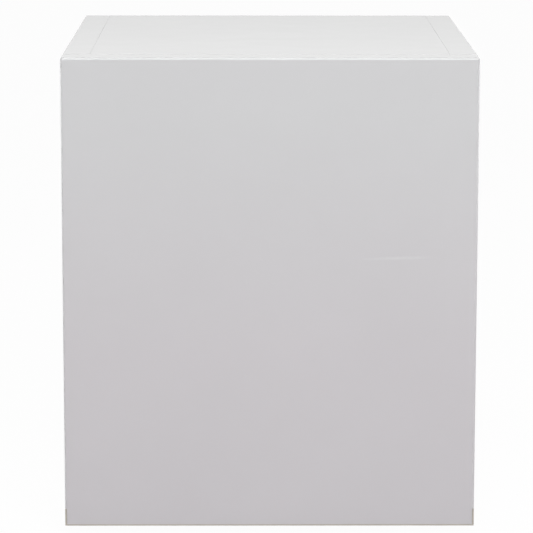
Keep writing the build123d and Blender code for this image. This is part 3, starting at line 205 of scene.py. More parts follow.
world = bpy.data.worlds.new("studio_sky")
bpy.context.scene.world = world
world.use_nodes = True
tree = world.node_tree
tree.nodes.clear()
direction = add_node(tree, "ShaderNodeTexCoord")
direction = add_node(tree, "ShaderNodeSeparateXYZ", {"Vector": direction.outputs["Generated"]})
sky_light = add_node(tree, "ShaderNodeMapRange", {
    "Value": direction.outputs["Y"], "To Min": front_sky_light, "To Max": rear_sky_light})
lighting = add_node(tree, "ShaderNodeBackground", {
    "Color": white, "Strength": sky_light.outputs["Result"]})
page = add_node(tree, "ShaderNodeBackground", {"Color": white, "Strength": 1.0})
sky = add_node(tree, "ShaderNodeMixShader", {
    0: seen_by_eye(tree), 1: lighting.outputs[0], 2: page.outputs[0]})
add_node(tree, "ShaderNodeOutputWorld", {"Surface": sky.outputs[0]})
print("sky light:", front_sky_light, "in front to", rear_sky_light, "behind")

# %% [markdown]
# Four soft boxes light the object. One large lamp would be simpler, but each face has its own fade.
# The key lamp hangs in front of the door, above it and a little to the right, so the door fades
# from top to bottom and, very slightly, to the left. A narrow lamp straight overhead lights the
# top, and draws the bright line along the folded top edge of the door. A low lamp stands on either
# side, below the level of the top, so that each of them lights its own side and nothing else.

# %% Lamps
bpy.context.scene.view_settings.view_transform = "Standard"


def soft_box(name, place, target, width, height, watts):
    """A rectangular lamp at a place, turned towards a target."""
    lamp = bpy.data.lights.new(name, "AREA")
    lamp.shape = "RECTANGLE"
    lamp.size = width
    lamp.size_y = height
    lamp.energy = watts
    holder = bpy.data.objects.new(name, lamp)
    bpy.context.scene.collection.objects.link(holder)
    towards = (Vector(target) - Vector(place)).to_track_quat("-Z", "Y")
    holder.matrix_world = Matrix.Translation(place) @ towards.to_matrix().to_4x4()
    print(name, watts, "W")


soft_box("key_soft_box", place=(0.2, -2.20, 2.10), target=(0.0, -0.24, 0.35),
         width=2.0, height=0.8, watts=50.9)
soft_box("top_soft_box", place=(0.0, -0.15, 2.40), target=(0.0, -0.10, 0.50),
         width=2.0, height=0.3, watts=8.0)
soft_box("left_soft_box", place=(-2.00, 0.30, 0.29), target=(-0.22, 0.00, 0.25),
         width=1.2, height=0.4, watts=8.0)
soft_box("right_soft_box", place=(2.00, 0.30, 0.29), target=(0.22, 0.00, 0.25),
         width=1.2, height=0.4, watts=8.0)

# %% [markdown]
# The cabinet sides, the top and the door are steel sheet that was painted in the coil before it was
# folded. The tone of such a coat drifts a little over a hand's breadth, which a wide noise gives.
# Here it also goes from a neutral grey at the top to a faintly rosy one in the lower half. That
# rosy
# tint is painted light: the tint of light reflected onto the lower half, not a colour of the coat.
# Two more greys could be mixed for that; a weak tint, multiplied in by height, keeps the drift
# underneath.

# %% Painted steel: tone
tone_drift_mm = 140.0
painted_tint_below = 200.0 * MM
painted_tint_ends_above = 450.0 * MM

painted_steel, tree, place = new_finish("coil_painted_steel")
drift = add_node(tree, "ShaderNodeTexNoise", {
    "Vector": place, "Scale": per_metre(tone_drift_mm), "Detail": 3.0})
grey = add_node(tree, "ShaderNodeMix", {
    SHARE: drift.outputs["Fac"], FIRST: linear("#DEDEDE"), SECOND: linear("#E2E2E2")},
    data_type="RGBA")
height = add_node(tree, "ShaderNodeSeparateXYZ", {"Vector": place})
# Painted reflected light: below a height the paint is multiplied by a faintly rosy tint.
painted_tint_share = add_node(tree, "ShaderNodeMapRange", {
    "Value": height.outputs["Z"], "From Min": painted_tint_below, "From Max": painted_tint_ends_above,
    "To Min": 1.0, "To Max": 0.0})
with_painted_tint = add_node(tree, "ShaderNodeMix", {
    SHARE: painted_tint_share.outputs["Result"], FIRST: grey.outputs[MIXED], SECOND: linear("#FFFBFD")},
    data_type="RGBA", blend_type="MULTIPLY")
print("paint: neutral above", painted_tint_ends_above, "m, rosy below", painted_tint_below, "m")

# %% [markdown]
# The paint is lighter in a pale streak across the door, as long as a finger. It could be a thin
# piece laid on the door, but it has no thickness, so it belongs in the paint. A spherical gradient
# is a round blot; a Mapping node moves it to its place, tilts it and draws it out, and a noise
# breaks it up. In depth the blot has no end, so that it meets the door's face.

# %% Painted steel: streak
streak_place = Vector((135.5, 0.0, 303.0)) * MM
streak_half_length = 44.0 * MM
streak_half_width = 2.4 * MM
streak_tilt = math.radians(-1.5)
endless = 1e6
streak_breakup_mm = 9.0

drawn_out = add_node(tree, "ShaderNodeMapping", {
    "Vector": place, "Location": streak_place, "Rotation": (0.0, streak_tilt, 0.0),
    "Scale": (streak_half_length, endless, streak_half_width)}, vector_type="TEXTURE")
blot = add_node(tree, "ShaderNodeTexGradient", {"Vector": drawn_out.outputs[0]},
                gradient_type="SPHERICAL")
streak_breakup = add_node(tree, "ShaderNodeTexNoise", {
    "Vector": place, "Scale": per_metre(streak_breakup_mm), "Detail": 3.0})
broken_streak = add_node(tree, "ShaderNodeMath", {0: blot.outputs["Fac"], 1: streak_breakup.outputs["Fac"]},
                  operation="MULTIPLY")
# The streak is a lighter tone mixed into the paint, broken up by the noise.
tone = add_node(tree, "ShaderNodeMix", {
    SHARE: broken_streak.outputs[0], FIRST: with_painted_tint.outputs[MIXED], SECOND: linear("#EEEEEE")},
    data_type="RGBA")
print("streak:", 2 * streak_half_length, "m long")

# %% [markdown]
# The coat is smooth and half glossy, with the faint orange peel of rolled paint. Orange peel is
# drawn as relief and not as colour, so it only shows where a lamp is reflected.

# %% Painted steel: gloss and orange peel
gloss_drift_mm = 60.0
smoothest, dullest = 0.20, 0.24
orange_peel_mm = 3.0
peel_depth = 0.05 * MM

patch = add_node(tree, "ShaderNodeTexNoise", {
    "Vector": place, "Scale": per_metre(gloss_drift_mm), "Detail": 2.0})
gloss = add_node(tree, "ShaderNodeMapRange", {
    "Value": patch.outputs["Fac"], "To Min": smoothest, "To Max": dullest})
peel = add_node(tree, "ShaderNodeTexNoise", {
    "Vector": place, "Scale": per_metre(orange_peel_mm), "Detail": 1.0})
relief = add_node(tree, "ShaderNodeBump", {
    "Height": peel.outputs["Fac"], "Strength": 0.06, "Distance": peel_depth})
coat = add_node(tree, "ShaderNodeBsdfPrincipled", {
    "Base Color": tone.outputs[MIXED], "Roughness": gloss.outputs["Result"],
    "Normal": relief.outputs["Normal"], "IOR": 1.5})
add_node(tree, "ShaderNodeOutputMaterial", {"Surface": coat.outputs["BSDF"]})
dress(painted_steel, "left_side_panel", "right_side_panel", "top_panel", "base_plate", "door_skin")

# %% [markdown]
# The caps that close the door's top and bottom, and the finger cup in its edge, are moulded in ABS.
# Their moulds are etched with a fine grain, so the plastic is duller than the paint. The grain is
# too fine for the mesh, so rounded cells drive a bump. The lower cap, which shows as a thin line
# under the door and as a small strip at each corner, is given a darker grey with a little brown in
# it, so one function makes the plastic in both tones.

# %% Moulded ABS
grain_mm = 1.2
grain_depth = 0.08 * MM
yellowing_mm = 35.0


def grained_abs(name, aged, fresh):
    """Grained ABS that drifts between an aged and a fresh tone."""
    finish, tree, place = new_finish(name)
    age = add_node(tree, "ShaderNodeTexNoise", {
        "Vector": place, "Scale": per_metre(yellowing_mm), "Detail": 3.0})
    tone = add_node(tree, "ShaderNodeMix", {
        SHARE: age.outputs["Fac"], FIRST: linear(aged), SECOND: linear(fresh)}, data_type="RGBA")
    grain = add_node(tree, "ShaderNodeTexVoronoi", {
        "Vector": place, "Scale": per_metre(grain_mm)}, feature="SMOOTH_F1")
    relief = add_node(tree, "ShaderNodeBump", {
        "Height": grain.outputs["Distance"], "Strength": 0.25, "Distance": grain_depth})
    plastic = add_node(tree, "ShaderNodeBsdfPrincipled", {
        "Base Color": tone.outputs[MIXED], "Roughness": 0.55,
        "Normal": relief.outputs["Normal"], "IOR": 1.53})
    add_node(tree, "ShaderNodeOutputMaterial", {"Surface": plastic.outputs["BSDF"]})
    return finish


dress(grained_abs("pale_grained_abs", "#D4D1CC", "#DBD9D6"), "door_top_cap", "door_grip")
# The lower cap gets a darker grey with a little brown in it.
dress(grained_abs("grey_grained_abs", "#C8C0B4", "#CFC9BE"), "door_bottom_cap")

# %% [markdown]
# The inside is one sheet of polystyrene, drawn warm into a mould. Its surface is glossy, and it
# keeps slow waves where the sheet cooled unevenly. They bend the reflections and nothing else, so
# they are relief, a few centimetres long. A haze of fine scuffs changes the tone and the gloss
# together, so one noise serves both.

# %% Formed polystyrene
haze_mm = 12.0
smoothest, dullest = 0.18, 0.28
wave_mm = 28.0
wave_depth = 0.4 * MM

formed_polystyrene, tree, place = new_finish("formed_polystyrene")
haze = add_node(tree, "ShaderNodeTexNoise", {
    "Vector": place, "Scale": per_metre(haze_mm), "Detail": 4.0})
tone = add_node(tree, "ShaderNodeMix", {
    SHARE: haze.outputs["Fac"], FIRST: linear("#E3E5E6"), SECOND: linear("#E8EAEA")},
    data_type="RGBA")
gloss = add_node(tree, "ShaderNodeMapRange", {
    "Value": haze.outputs["Fac"], "To Min": smoothest, "To Max": dullest})
wave = add_node(tree, "ShaderNodeTexNoise", {
    "Vector": place, "Scale": per_metre(wave_mm), "Detail": 0.0})
relief = add_node(tree, "ShaderNodeBump", {
    "Height": wave.outputs["Fac"], "Strength": 0.3, "Distance": wave_depth})
plastic = add_node(tree, "ShaderNodeBsdfPrincipled", {
    "Base Color": tone.outputs[MIXED], "Roughness": gloss.outputs["Result"],
    "Normal": relief.outputs["Normal"], "IOR": 1.59})
add_node(tree, "ShaderNodeOutputMaterial", {"Surface": plastic.outputs["BSDF"]})
dress(formed_polystyrene, "inner_liner", "door_liner", "chiller_frame", "chiller_flap",
      "thermostat_housing")

# %% [markdown]
# The door balconies and the drip tray are clear polystyrene, moulded with polished faces. Clear
# plastic in walls of two millimetres looks faintly blue along its edges, and fine flow lines in it
# soften what is seen through it. A Glass shader could do this, but the Principled shader lets a
# little of the light scatter as the plastic does.

# %% Clear polystyrene
flow_line_mm = 6.0
flow_depth = 0.05 * MM
along_the_piece = (0.2, 1.0, 1.0)
smoothest, dullest = 0.04, 0.14

clear_polystyrene, tree, place = new_finish("clear_polystyrene")
stretch = add_node(tree, "ShaderNodeMapping", {"Vector": place, "Scale": along_the_piece})
flow = add_node(tree, "ShaderNodeTexNoise", {
    "Vector": stretch.outputs[0], "Scale": per_metre(flow_line_mm), "Detail": 2.0})
gloss = add_node(tree, "ShaderNodeMapRange", {
    "Value": flow.outputs["Fac"], "To Min": smoothest, "To Max": dullest})
relief = add_node(tree, "ShaderNodeBump", {
    "Height": flow.outputs["Fac"], "Strength": 0.1, "Distance": flow_depth})
plastic = add_node(tree, "ShaderNodeBsdfPrincipled", {
    "Base Color": linear("#EEF5F8"), "Roughness": gloss.outputs["Result"],
    "Normal": relief.outputs["Normal"], "IOR": 1.59, "Transmission Weight": 0.92})
add_node(tree, "ShaderNodeOutputMaterial", {"Surface": plastic.outputs["BSDF"]})
dress(clear_polystyrene, "upper_balcony", "lower_balcony", "drip_tray")

# %% [markdown]
# The shelf is a plate of float glass with ground edges. Iron in ordinary glass tints it green, most
# of all along an edge, where the eye looks through a long way of it. The plate is never quite flat,
# so a very wide noise bends its reflections a little.

# %% Float glass
ripple_mm = 80.0
ripple_depth = 0.05 * MM
smoothest, dullest = 0.0, 0.03

float_glass, tree, place = new_finish("float_glass")
ripple = add_node(tree, "ShaderNodeTexNoise", {
    "Vector": place, "Scale": per_metre(ripple_mm), "Detail": 0.0})
gloss = add_node(tree, "ShaderNodeMapRange", {
    "Value": ripple.outputs["Fac"], "To Min": smoothest, "To Max": dullest})
relief = add_node(tree, "ShaderNodeBump", {
    "Height": ripple.outputs["Fac"], "Strength": 0.05, "Distance": ripple_depth})
plate = add_node(tree, "ShaderNodeBsdfPrincipled", {
    "Base Color": linear("#D8EDE3"), "Roughness": gloss.outputs["Result"],
    "Normal": relief.outputs["Normal"], "IOR": 1.52, "Transmission Weight": 1.0})
add_node(tree, "ShaderNodeOutputMaterial", {"Surface": plate.outputs["BSDF"]})
dress(float_glass, "shelf_glass")

# %% [markdown]
# White acetal and ABS make the small inside pieces: the knob, the shelf trims, the hinge bushes and
# the ice box hangers. They come from polished moulds, so they are smoother than the caps and need
# no relief. Where the melt met, it leaves marks that are a shade duller.

# %% Smooth white plastic
flow_mark_mm = 5.0
smoothest, dullest = 0.28, 0.4

white_acetal, tree, place = new_finish("white_acetal")
mark = add_node(tree, "ShaderNodeTexNoise", {
    "Vector": place, "Scale": per_metre(flow_mark_mm), "Detail": 3.0})
tone = add_node(tree, "ShaderNodeMix", {
    SHARE: mark.outputs["Fac"], FIRST: linear("#DCDCD8"), SECOND: linear("#E3E3E0")},
    data_type="RGBA")
gloss = add_node(tree, "ShaderNodeMapRange", {
    "Value": mark.outputs["Fac"], "To Min": smoothest, "To Max": dullest})
plastic = add_node(tree, "ShaderNodeBsdfPrincipled", {
    "Base Color": tone.outputs[MIXED], "Roughness": gloss.outputs["Result"], "IOR": 1.48})
add_node(tree, "ShaderNodeOutputMaterial", {"Surface": plastic.outputs["BSDF"]})
dress(white_acetal, "thermostat_knob", "shelf_front_trim", "shelf_rear_trim", "upper_hinge_bush",
      "lower_hinge_bush", "evaporator_hangers")

# %% [markdown]
# The door's seal is soft vinyl, extruded and welded at the corners. It is matt and a little grey,
# and dust sits in its folds, which a noise with much fine detail gives. The die also leaves fine
# lines along it, but they are too faint to draw.

# %% Soft vinyl
dust_mm = 15.0
smoothest, dullest = 0.5, 0.7

soft_vinyl, tree, place = new_finish("soft_vinyl")
dust = add_node(tree, "ShaderNodeTexNoise", {
    "Vector": place, "Scale": per_metre(dust_mm), "Detail": 6.0})
tone = add_node(tree, "ShaderNodeMix", {
    SHARE: dust.outputs["Fac"], FIRST: linear("#C2C2C3"), SECOND: linear("#D2D2D2")},
    data_type="RGBA")
gloss = add_node(tree, "ShaderNodeMapRange", {
    "Value": dust.outputs["Fac"], "To Min": smoothest, "To Max": dullest})
vinyl = add_node(tree, "ShaderNodeBsdfPrincipled", {
    "Base Color": tone.outputs[MIXED], "Roughness": gloss.outputs["Result"], "IOR": 1.53})
add_node(tree, "ShaderNodeOutputMaterial", {"Surface": vinyl.outputs["BSDF"]})
dress(soft_vinyl, "door_gasket")

# %% [markdown]
# The magnet strips inside the seal are rubber filled with ferrite powder, which is nearly black and
# quite dull. The powder shows as a fine grit in the tone.

# %% Magnet strip
grit_mm = 0.8

magnet_rubber, tree, place = new_finish("ferrite_rubber")
grit = add_node(tree, "ShaderNodeTexNoise", {
    "Vector": place, "Scale": per_metre(grit_mm), "Detail": 2.0})
tone = add_node(tree, "ShaderNodeMix", {
    SHARE: grit.outputs["Fac"], FIRST: linear("#1E1D1C"), SECOND: linear("#2B2928")},
    data_type="RGBA")
strip = add_node(tree, "ShaderNodeBsdfPrincipled", {
    "Base Color": tone.outputs[MIXED], "Roughness": 0.75, "IOR": 1.52})
add_node(tree, "ShaderNodeOutputMaterial", {"Surface": strip.outputs["BSDF"]})
dress(magnet_rubber, "gasket_magnets")

# %% [markdown]
# Between the sheets and the liner is polyurethane foam. It rises and sets in place, straw coloured,
# with cells of a fraction of a millimetre. A Voronoi pattern is made of cells already; they are
# drawn larger here, so that they show.

# %% Foam
cell_mm = 1.5
cell_depth = 0.3 * MM

rigid_foam, tree, place = new_finish("polyurethane_foam")
cells = add_node(tree, "ShaderNodeTexVoronoi", {"Vector": place, "Scale": per_metre(cell_mm)})
tone = add_node(tree, "ShaderNodeMix", {
    SHARE: cells.outputs["Distance"], FIRST: linear("#E4D3A0"), SECOND: linear("#D2BE85")},
    data_type="RGBA")
relief = add_node(tree, "ShaderNodeBump", {
    "Height": cells.outputs["Distance"], "Strength": 0.5, "Distance": cell_depth})
foam = add_node(tree, "ShaderNodeBsdfPrincipled", {
    "Base Color": tone.outputs[MIXED], "Roughness": 0.9, "Normal": relief.outputs["Normal"],
    "IOR": 1.45})
add_node(tree, "ShaderNodeOutputMaterial", {"Surface": foam.outputs["BSDF"]})
dress(rigid_foam, "cabinet_foam", "door_foam")

# %% [markdown]
# The back, the cross rail and the smaller pressings are galvanised sheet. Zinc freezes on steel in
# flat crystals, the spangle, each of which reflects the light its own way. A Voronoi pattern has a
# random colour for every cell: its red gives the crystal's tone and its green the gloss.

# %% Galvanised steel
spangle_mm = 11.0
smoothest, dullest = 0.38, 0.55

galvanised_steel, tree, place = new_finish("galvanised_steel")
spangle = add_node(tree, "ShaderNodeTexVoronoi", {
    "Vector": place, "Scale": per_metre(spangle_mm)})
crystal = add_node(tree, "ShaderNodeSeparateColor", {"Color": spangle.outputs["Color"]})
tone = add_node(tree, "ShaderNodeMix", {
    SHARE: crystal.outputs["Red"], FIRST: linear("#A9ADB0"), SECOND: linear("#BFC2C4")},
    data_type="RGBA")
gloss = add_node(tree, "ShaderNodeMapRange", {
    "Value": crystal.outputs["Green"], "To Min": smoothest, "To Max": dullest})
zinc = add_node(tree, "ShaderNodeBsdfPrincipled", {
    "Base Color": tone.outputs[MIXED], "Roughness": gloss.outputs["Result"], "Metallic": 1.0})
add_node(tree, "ShaderNodeOutputMaterial", {"Surface": zinc.outputs["BSDF"]})
dress(galvanised_steel, "back_panel", "compressor_rail", "compressor_mount",
      "hinge_backing_plates", "thermostat_body")

# %% [markdown]
# Hinge brackets, pins, screws, bolts and nuts are turned or pressed steel with a thin bright zinc
# plating. It is smoother than dipped zinc and slightly blue. Fine tool marks under it change the
# tone and the gloss together.

# %% Zinc plated steel
tool_mark_mm = 0.7
smoothest, dullest = 0.24, 0.38

zinc_plated, tree, place = new_finish("zinc_plated_steel")
marks = add_node(tree, "ShaderNodeTexNoise", {
    "Vector": place, "Scale": per_metre(tool_mark_mm), "Detail": 2.0})
tone = add_node(tree, "ShaderNodeMix", {
    SHARE: marks.outputs["Fac"], FIRST: linear("#B3B8BE"), SECOND: linear("#C9CDD2")},
    data_type="RGBA")
gloss = add_node(tree, "ShaderNodeMapRange", {
    "Value": marks.outputs["Fac"], "To Min": smoothest, "To Max": dullest})
plating = add_node(tree, "ShaderNodeBsdfPrincipled", {
    "Base Color": tone.outputs[MIXED], "Roughness": gloss.outputs["Result"], "Metallic": 1.0})
add_node(tree, "ShaderNodeOutputMaterial", {"Surface": plating.outputs["BSDF"]})
dress(zinc_plated, "upper_hinge_bracket", "lower_hinge_bracket", "upper_hinge_pin",
      "lower_hinge_pin", "hinge_screws", "compressor_bolts", "foot_nuts", "thermostat_shaft")

# %% [markdown]
# The compressor and the condenser are dipped in black enamel. It runs before it dries, so it is
# glossy and slightly uneven. Behind a refrigerator dust settles on whatever looks up. It could be
# painted on by hand; here the surface's own normal says how far it looks up, and a noise makes the
# dust patchy.

# %% Black enamel
film_mm = 45.0
dust_from = 0.3
most_dust = 0.9
smoothest, dullest = 0.20, 0.42
enamel_run_mm = 7.0
run_depth = 0.15 * MM

black_enamel, tree, place = new_finish("black_enamel")
film = add_node(tree, "ShaderNodeTexNoise", {
    "Vector": place, "Scale": per_metre(film_mm), "Detail": 5.0})
facing = add_node(tree, "ShaderNodeNewGeometry")
upward = add_node(tree, "ShaderNodeSeparateXYZ", {"Vector": facing.outputs["Normal"]})
settled = add_node(tree, "ShaderNodeMapRange", {
    "Value": upward.outputs["Z"], "From Min": dust_from, "To Max": most_dust})
dusty = add_node(tree, "ShaderNodeMath", {
    0: settled.outputs["Result"], 1: film.outputs["Fac"]}, operation="MULTIPLY")
tone = add_node(tree, "ShaderNodeMix", {
    SHARE: dusty.outputs[0], FIRST: linear("#17181A"), SECOND: linear("#6F6C68")},
    data_type="RGBA")
gloss = add_node(tree, "ShaderNodeMapRange", {
    "Value": film.outputs["Fac"], "To Min": smoothest, "To Max": dullest})
run = add_node(tree, "ShaderNodeTexNoise", {
    "Vector": place, "Scale": per_metre(enamel_run_mm), "Detail": 1.0})
relief = add_node(tree, "ShaderNodeBump", {
    "Height": run.outputs["Fac"], "Strength": 0.2, "Distance": run_depth})
enamel = add_node(tree, "ShaderNodeBsdfPrincipled", {
    "Base Color": tone.outputs[MIXED], "Roughness": gloss.outputs["Result"],
    "Normal": relief.outputs["Normal"], "IOR": 1.5})
add_node(tree, "ShaderNodeOutputMaterial", {"Surface": enamel.outputs["BSDF"]})
dress(black_enamel, "compressor_shell", "condenser_tube", "condenser_wires", "discharge_tube")

# %% [markdown]
# The suction pipe, the process pipe, the drier and the capillary are drawn copper. Copper is bright
# when it is new and goes brown and dull in patches, so one noise changes the tone and the gloss.

# %% Drawn copper
tarnish_mm = 18.0
smoothest, dullest = 0.25, 0.5

drawn_copper, tree, place = new_finish("drawn_copper")
tarnish = add_node(tree, "ShaderNodeTexNoise", {
    "Vector": place, "Scale": per_metre(tarnish_mm), "Detail": 5.0})
tone = add_node(tree, "ShaderNodeMix", {
    SHARE: tarnish.outputs["Fac"], FIRST: linear("#C98B63"), SECOND: linear("#8E5A3C")},
    data_type="RGBA")
gloss = add_node(tree, "ShaderNodeMapRange", {
    "Value": tarnish.outputs["Fac"], "To Min": smoothest, "To Max": dullest})
pipe = add_node(tree, "ShaderNodeBsdfPrincipled", {
    "Base Color": tone.outputs[MIXED], "Roughness": gloss.outputs["Result"], "Metallic": 1.0})
add_node(tree, "ShaderNodeOutputMaterial", {"Surface": pipe.outputs["BSDF"]})
dress(drawn_copper, "suction_tube", "process_tube", "filter_drier", "capillary_tube")

# %% [markdown]
# The ice box is rolled from two aluminium sheets that are bonded together. The rolls leave fine
# lines along the sheet, from front to back. They are noise, drawn out by a Mapping node, and wider
# than the real ones so that they show.

# %% Rolled aluminium
roll_line_mm = 1.6
along_the_roll = (1.0, 0.03, 1.0)
smoothest, dullest = 0.3, 0.48

rolled_aluminium, tree, place = new_finish("rolled_aluminium")
stretch = add_node(tree, "ShaderNodeMapping", {"Vector": place, "Scale": along_the_roll})
lines = add_node(tree, "ShaderNodeTexNoise", {
    "Vector": stretch.outputs[0], "Scale": per_metre(roll_line_mm), "Detail": 3.0})
tone = add_node(tree, "ShaderNodeMix", {
    SHARE: lines.outputs["Fac"], FIRST: linear("#C4C7C9"), SECOND: linear("#DCDEDF")},
    data_type="RGBA")
gloss = add_node(tree, "ShaderNodeMapRange", {
    "Value": lines.outputs["Fac"], "To Min": smoothest, "To Max": dullest})
sheet = add_node(tree, "ShaderNodeBsdfPrincipled", {
    "Base Color": tone.outputs[MIXED], "Roughness": gloss.outputs["Result"], "Metallic": 1.0})
add_node(tree, "ShaderNodeOutputMaterial", {"Surface": sheet.outputs["BSDF"]})
dress(rolled_aluminium, "evaporator", "evaporator_lines")

# %% [markdown]
# The feet, the condenser clips, the terminal cover and the cord gland are black polypropylene from
# a grained mould. The grain is made as on the door's caps, a little coarser.

# %% Black polypropylene
etch_mm = 1.4
etch_depth = 0.1 * MM

black_polypropylene, tree, place = new_finish("grained_polypropylene")
etch = add_node(tree, "ShaderNodeTexVoronoi", {
    "Vector": place, "Scale": per_metre(etch_mm)}, feature="SMOOTH_F1")
tone = add_node(tree, "ShaderNodeMix", {
    SHARE: etch.outputs["Distance"], FIRST: linear("#1B1B1C"), SECOND: linear("#262627")},
    data_type="RGBA")
relief = add_node(tree, "ShaderNodeBump", {
    "Height": etch.outputs["Distance"], "Strength": 0.3, "Distance": etch_depth})
plastic = add_node(tree, "ShaderNodeBsdfPrincipled", {
    "Base Color": tone.outputs[MIXED], "Roughness": 0.5, "Normal": relief.outputs["Normal"],
    "IOR": 1.49})
add_node(tree, "ShaderNodeOutputMaterial", {"Surface": plastic.outputs["BSDF"]})
dress(black_polypropylene, "front_left_foot", "front_right_foot", "rear_feet", "condenser_clips",
      "terminal_cover", "cord_gland")

# %% [markdown]
# The grommets under the compressor are nitrile rubber. It is duller than the plastic, and with age
# a grey bloom comes out of it in patches, which a noise gives.

# %% Nitrile rubber
bloom_mm = 6.0

nitrile_rubber, tree, place = new_finish("nitrile_rubber")
bloom = add_node(tree, "ShaderNodeTexNoise", {
    "Vector": place, "Scale": per_metre(bloom_mm), "Detail": 4.0})
tone = add_node(tree, "ShaderNodeMix", {
    SHARE: bloom.outputs["Fac"], FIRST: linear("#1C1C1B"), SECOND: linear("#383837")},
    data_type="RGBA")
rubber = add_node(tree, "ShaderNodeBsdfPrincipled", {
    "Base Color": tone.outputs[MIXED], "Roughness": 0.8, "IOR": 1.52})
add_node(tree, "ShaderNodeOutputMaterial", {"Surface": rubber.outputs["BSDF"]})
dress(nitrile_rubber, "compressor_grommets")

# %% [markdown]
# The thermostat's scale is printed on its housing: 0, which is off, stands over the knob, and the
# figures go round clockwise to 5, the coldest. A figure could be drawn in the plastic's material,
# but it is far easier to type it. Each one is a text object, made a mesh as thin as a film of ink,
# stood upright and placed on a circle round the knob.

# %% Dial figures
figure_size = 6.5 * MM
ink_film = 0.10 * MM
figure_circle = 27.5 * MM
figure_step = math.radians(54.0)
figure_count = 6
quarter_turn = math.pi / 2

knob_low, knob_high = (Vector(corner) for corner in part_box("thermostat_knob"))
housing_low, _ = (Vector(corner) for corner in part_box("thermostat_housing"))
dial_centre = (knob_low + knob_high) / 2
dial_centre.y = housing_low.y

figures = []
for number in range(figure_count):
    bpy.ops.object.select_all(action="DESELECT")
    bpy.ops.object.text_add()
    lettering = bpy.context.object.data
    lettering.body = str(number)
    lettering.size = figure_size
    lettering.extrude = ink_film / 2
    lettering.align_x = "CENTER"
    lettering.align_y = "CENTER"
    bpy.ops.object.convert(target="MESH")
    figure = bpy.context.object
    turn = number * figure_step
    outward = Vector((math.sin(turn), 0.0, math.cos(turn)))
    figure.rotation_euler = (quarter_turn, 0.0, 0.0)
    figure.location = dial_centre + figure_circle * outward
    bpy.ops.object.transform_apply()
    figures.append(figure)
print("typed", len(figures), "figures round", [round(c, 4) for c in dial_centre])

# %% [markdown]
# The six figures are one print, so they are joined. A mesh that comes from text has its faces apart
# along the edges; they are merged there, and all faces are turned outwards.

# %% Join the figures
weld_distance = ink_film / 100


def select_only(*pieces):
    """Select these pieces and nothing else, and make the first of them active."""
    bpy.ops.object.select_all(action="DESELECT")
    for piece in pieces:
        piece.select_set(True)
    bpy.context.view_layer.objects.active = pieces[0]


select_only(*figures)
bpy.ops.object.join()
dial_figures = bpy.context.object
dial_figures.name = "dial_figures"
bpy.ops.object.mode_set(mode="EDIT")
bpy.ops.mesh.select_all(action="SELECT")
bpy.ops.mesh.remove_doubles(threshold=weld_distance)
bpy.ops.mesh.normals_make_consistent(inside=False)
bpy.ops.object.mode_set(mode="OBJECT")
print("dial figures:", len(dial_figures.data.polygons), "faces")

# %% [markdown]
# The figures are pad printed: a soft stamp presses the ink on. It is dark grey and half matt, and a
# fine noise leaves it uneven, as a stamp does. The print moves with the cabinet.

# %% Printed ink
ink_blot_mm = 0.6

pad_ink, tree, place = new_finish("pad_printed_ink")
blot = add_node(tree, "ShaderNodeTexNoise", {
    "Vector": place, "Scale": per_metre(ink_blot_mm), "Detail": 2.0})
tone = add_node(tree, "ShaderNodeMix", {
    SHARE: blot.outputs["Fac"], FIRST: linear("#45484D"), SECOND: linear("#5A5D61")},
    data_type="RGBA")
ink = add_node(tree, "ShaderNodeBsdfPrincipled", {
    "Base Color": tone.outputs[MIXED], "Roughness": 0.5, "IOR": 1.5})
add_node(tree, "ShaderNodeOutputMaterial", {"Surface": ink.outputs["BSDF"]})
put_on(pad_ink, dial_figures)
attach(dial_figures, "cabinet")
print(pad_ink.name, "on", dial_figures.name)

# %% [markdown]
# Four pan-head screws hold the hinge brackets, and they show when the door is open. A real head is
# pressed from wire. It could be turned from a profile with a spin, but a cylinder is quicker: it
# gets its rounded rim from a bevel, and its shank from an inset and an extrusion of the face
# underneath.

# %% Screw head and shank
head_radius = 3.3 * MM
head_height = 2.2 * MM
head_sides = 36
rim_round = 1.1 * MM
rim_steps = 5
shank_radius = 2.0 * MM
shank_length = 10.0 * MM
nearly_all = 0.9


def pick(piece, kind, wanted):
    """In edit mode, select the faces or edges that wanted says yes to, and nothing else."""
    bpy.ops.mesh.select_mode(type=kind)
    bpy.ops.mesh.select_all(action="DESELECT")
    shape = bmesh.from_edit_mesh(piece.data)
    for element in shape.faces if kind == "FACE" else shape.edges:
        element.select_set(wanted(element))
    bmesh.update_edit_mesh(piece.data)


def looks_down(face):
    """Whether a face points downwards."""
    return face.normal.z < -nearly_all


bpy.ops.object.select_all(action="DESELECT")
bpy.ops.mesh.primitive_cylinder_add(vertices=head_sides, radius=head_radius, depth=head_height,
                                    location=(0.0, 0.0, head_height / 2))
screw = bpy.context.object
bpy.ops.object.transform_apply()
bpy.ops.object.mode_set(mode="EDIT")
pick(screw, "EDGE", lambda edge: all(v.co.z > head_height * nearly_all for v in edge.verts))
bpy.ops.mesh.bevel(offset=rim_round, segments=rim_steps, affect="EDGES")
pick(screw, "FACE", looks_down)
bpy.ops.mesh.inset(thickness=head_radius - shank_radius)
bpy.ops.mesh.extrude_region_move(TRANSFORM_OT_translate={"value": (0.0, 0.0, -shank_length)})
bpy.ops.object.mode_set(mode="OBJECT")
print("plain screw:", len(screw.data.polygons), "faces")

# %% [markdown]
# The cross for the driver is punched into the head. The cut is two wedges, one across the other: a
# block whose lower face is drawn in, taken out of the head by a Boolean modifier.

# %% Cross for the driver
cross_length = 4.2 * MM
cross_width = 0.9 * MM
cross_depth = 1.3 * MM
cross_taper = 0.35
sharp_edge = math.radians(35.0)

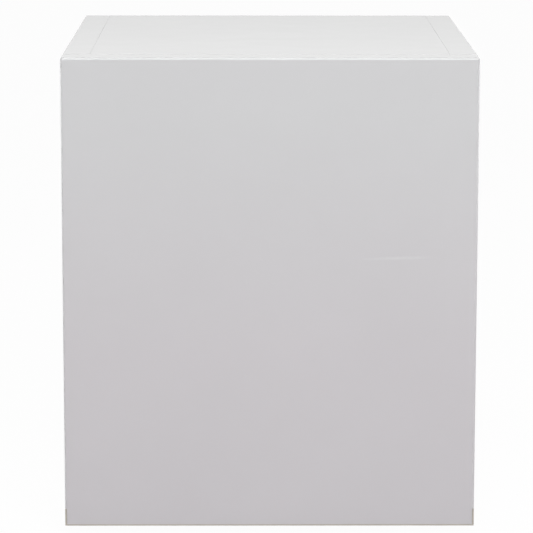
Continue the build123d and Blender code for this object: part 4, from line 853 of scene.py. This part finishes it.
for turn in (0.0, quarter_turn):
    bpy.ops.object.select_all(action="DESELECT")
    bpy.ops.mesh.primitive_cube_add(size=1.0)
    wedge = bpy.context.object
    wedge.scale = (cross_length, cross_width, 2 * cross_depth)
    wedge.rotation_euler = (0.0, 0.0, turn)
    wedge.location = (0.0, 0.0, head_height)
    bpy.ops.object.transform_apply()
    bpy.ops.object.mode_set(mode="EDIT")
    pick(wedge, "FACE", looks_down)
    bpy.ops.transform.resize(value=(cross_taper, cross_taper, 1.0))
    bpy.ops.object.mode_set(mode="OBJECT")
    select_only(screw)
    cut = screw.modifiers.new("cross", "BOOLEAN")
    cut.operation = "DIFFERENCE"
    cut.solver = "EXACT"
    cut.object = wedge
    bpy.ops.object.modifier_apply(modifier=cut.name)
    bpy.data.objects.remove(wedge)
bpy.ops.object.shade_smooth_by_angle(angle=sharp_edge)
print("screw with its cross:", len(screw.data.polygons), "faces")

# %% [markdown]
# The one screw is copied to where the frame has its plain screws. The box of those four gives the
# places: a head's radius in from each corner, and a head's height behind the front. Each copy is
# turned by another angle, as a driver leaves them.

# %% Hinge screws
driver_turns = (12.0, 61.0, 33.0, 78.0)

screws_low, screws_high = (Vector(corner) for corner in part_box("hinge_screws"))
spots = [(x, z) for z in (screws_high.z - head_radius, screws_low.z + head_radius)
         for x in (screws_low.x + head_radius, screws_high.x - head_radius)]
facing_front = Matrix.Rotation(quarter_turn, 4, "X")
copies = []
for (x, z), degrees in zip(spots, driver_turns):
    select_only(screw)
    bpy.ops.object.duplicate(linked=False)
    copy = bpy.context.object
    seat = Matrix.Translation((x, screws_low.y + head_height, z))
    driven = Matrix.Rotation(math.radians(degrees), 4, "Z")
    copy.matrix_world = seat @ facing_front @ driven
    bpy.ops.object.transform_apply()
    copies.append(copy)
bpy.data.objects.remove(screw)

select_only(*copies)
bpy.ops.object.join()
cross_head_screws = bpy.context.object
cross_head_screws.name = "cross_head_screws"
put_on(zinc_plated, cross_head_screws)
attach(cross_head_screws, "cabinet")
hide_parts("hinge_screws")
print("hinge screws:", len(cross_head_screws.data.polygons), "faces")
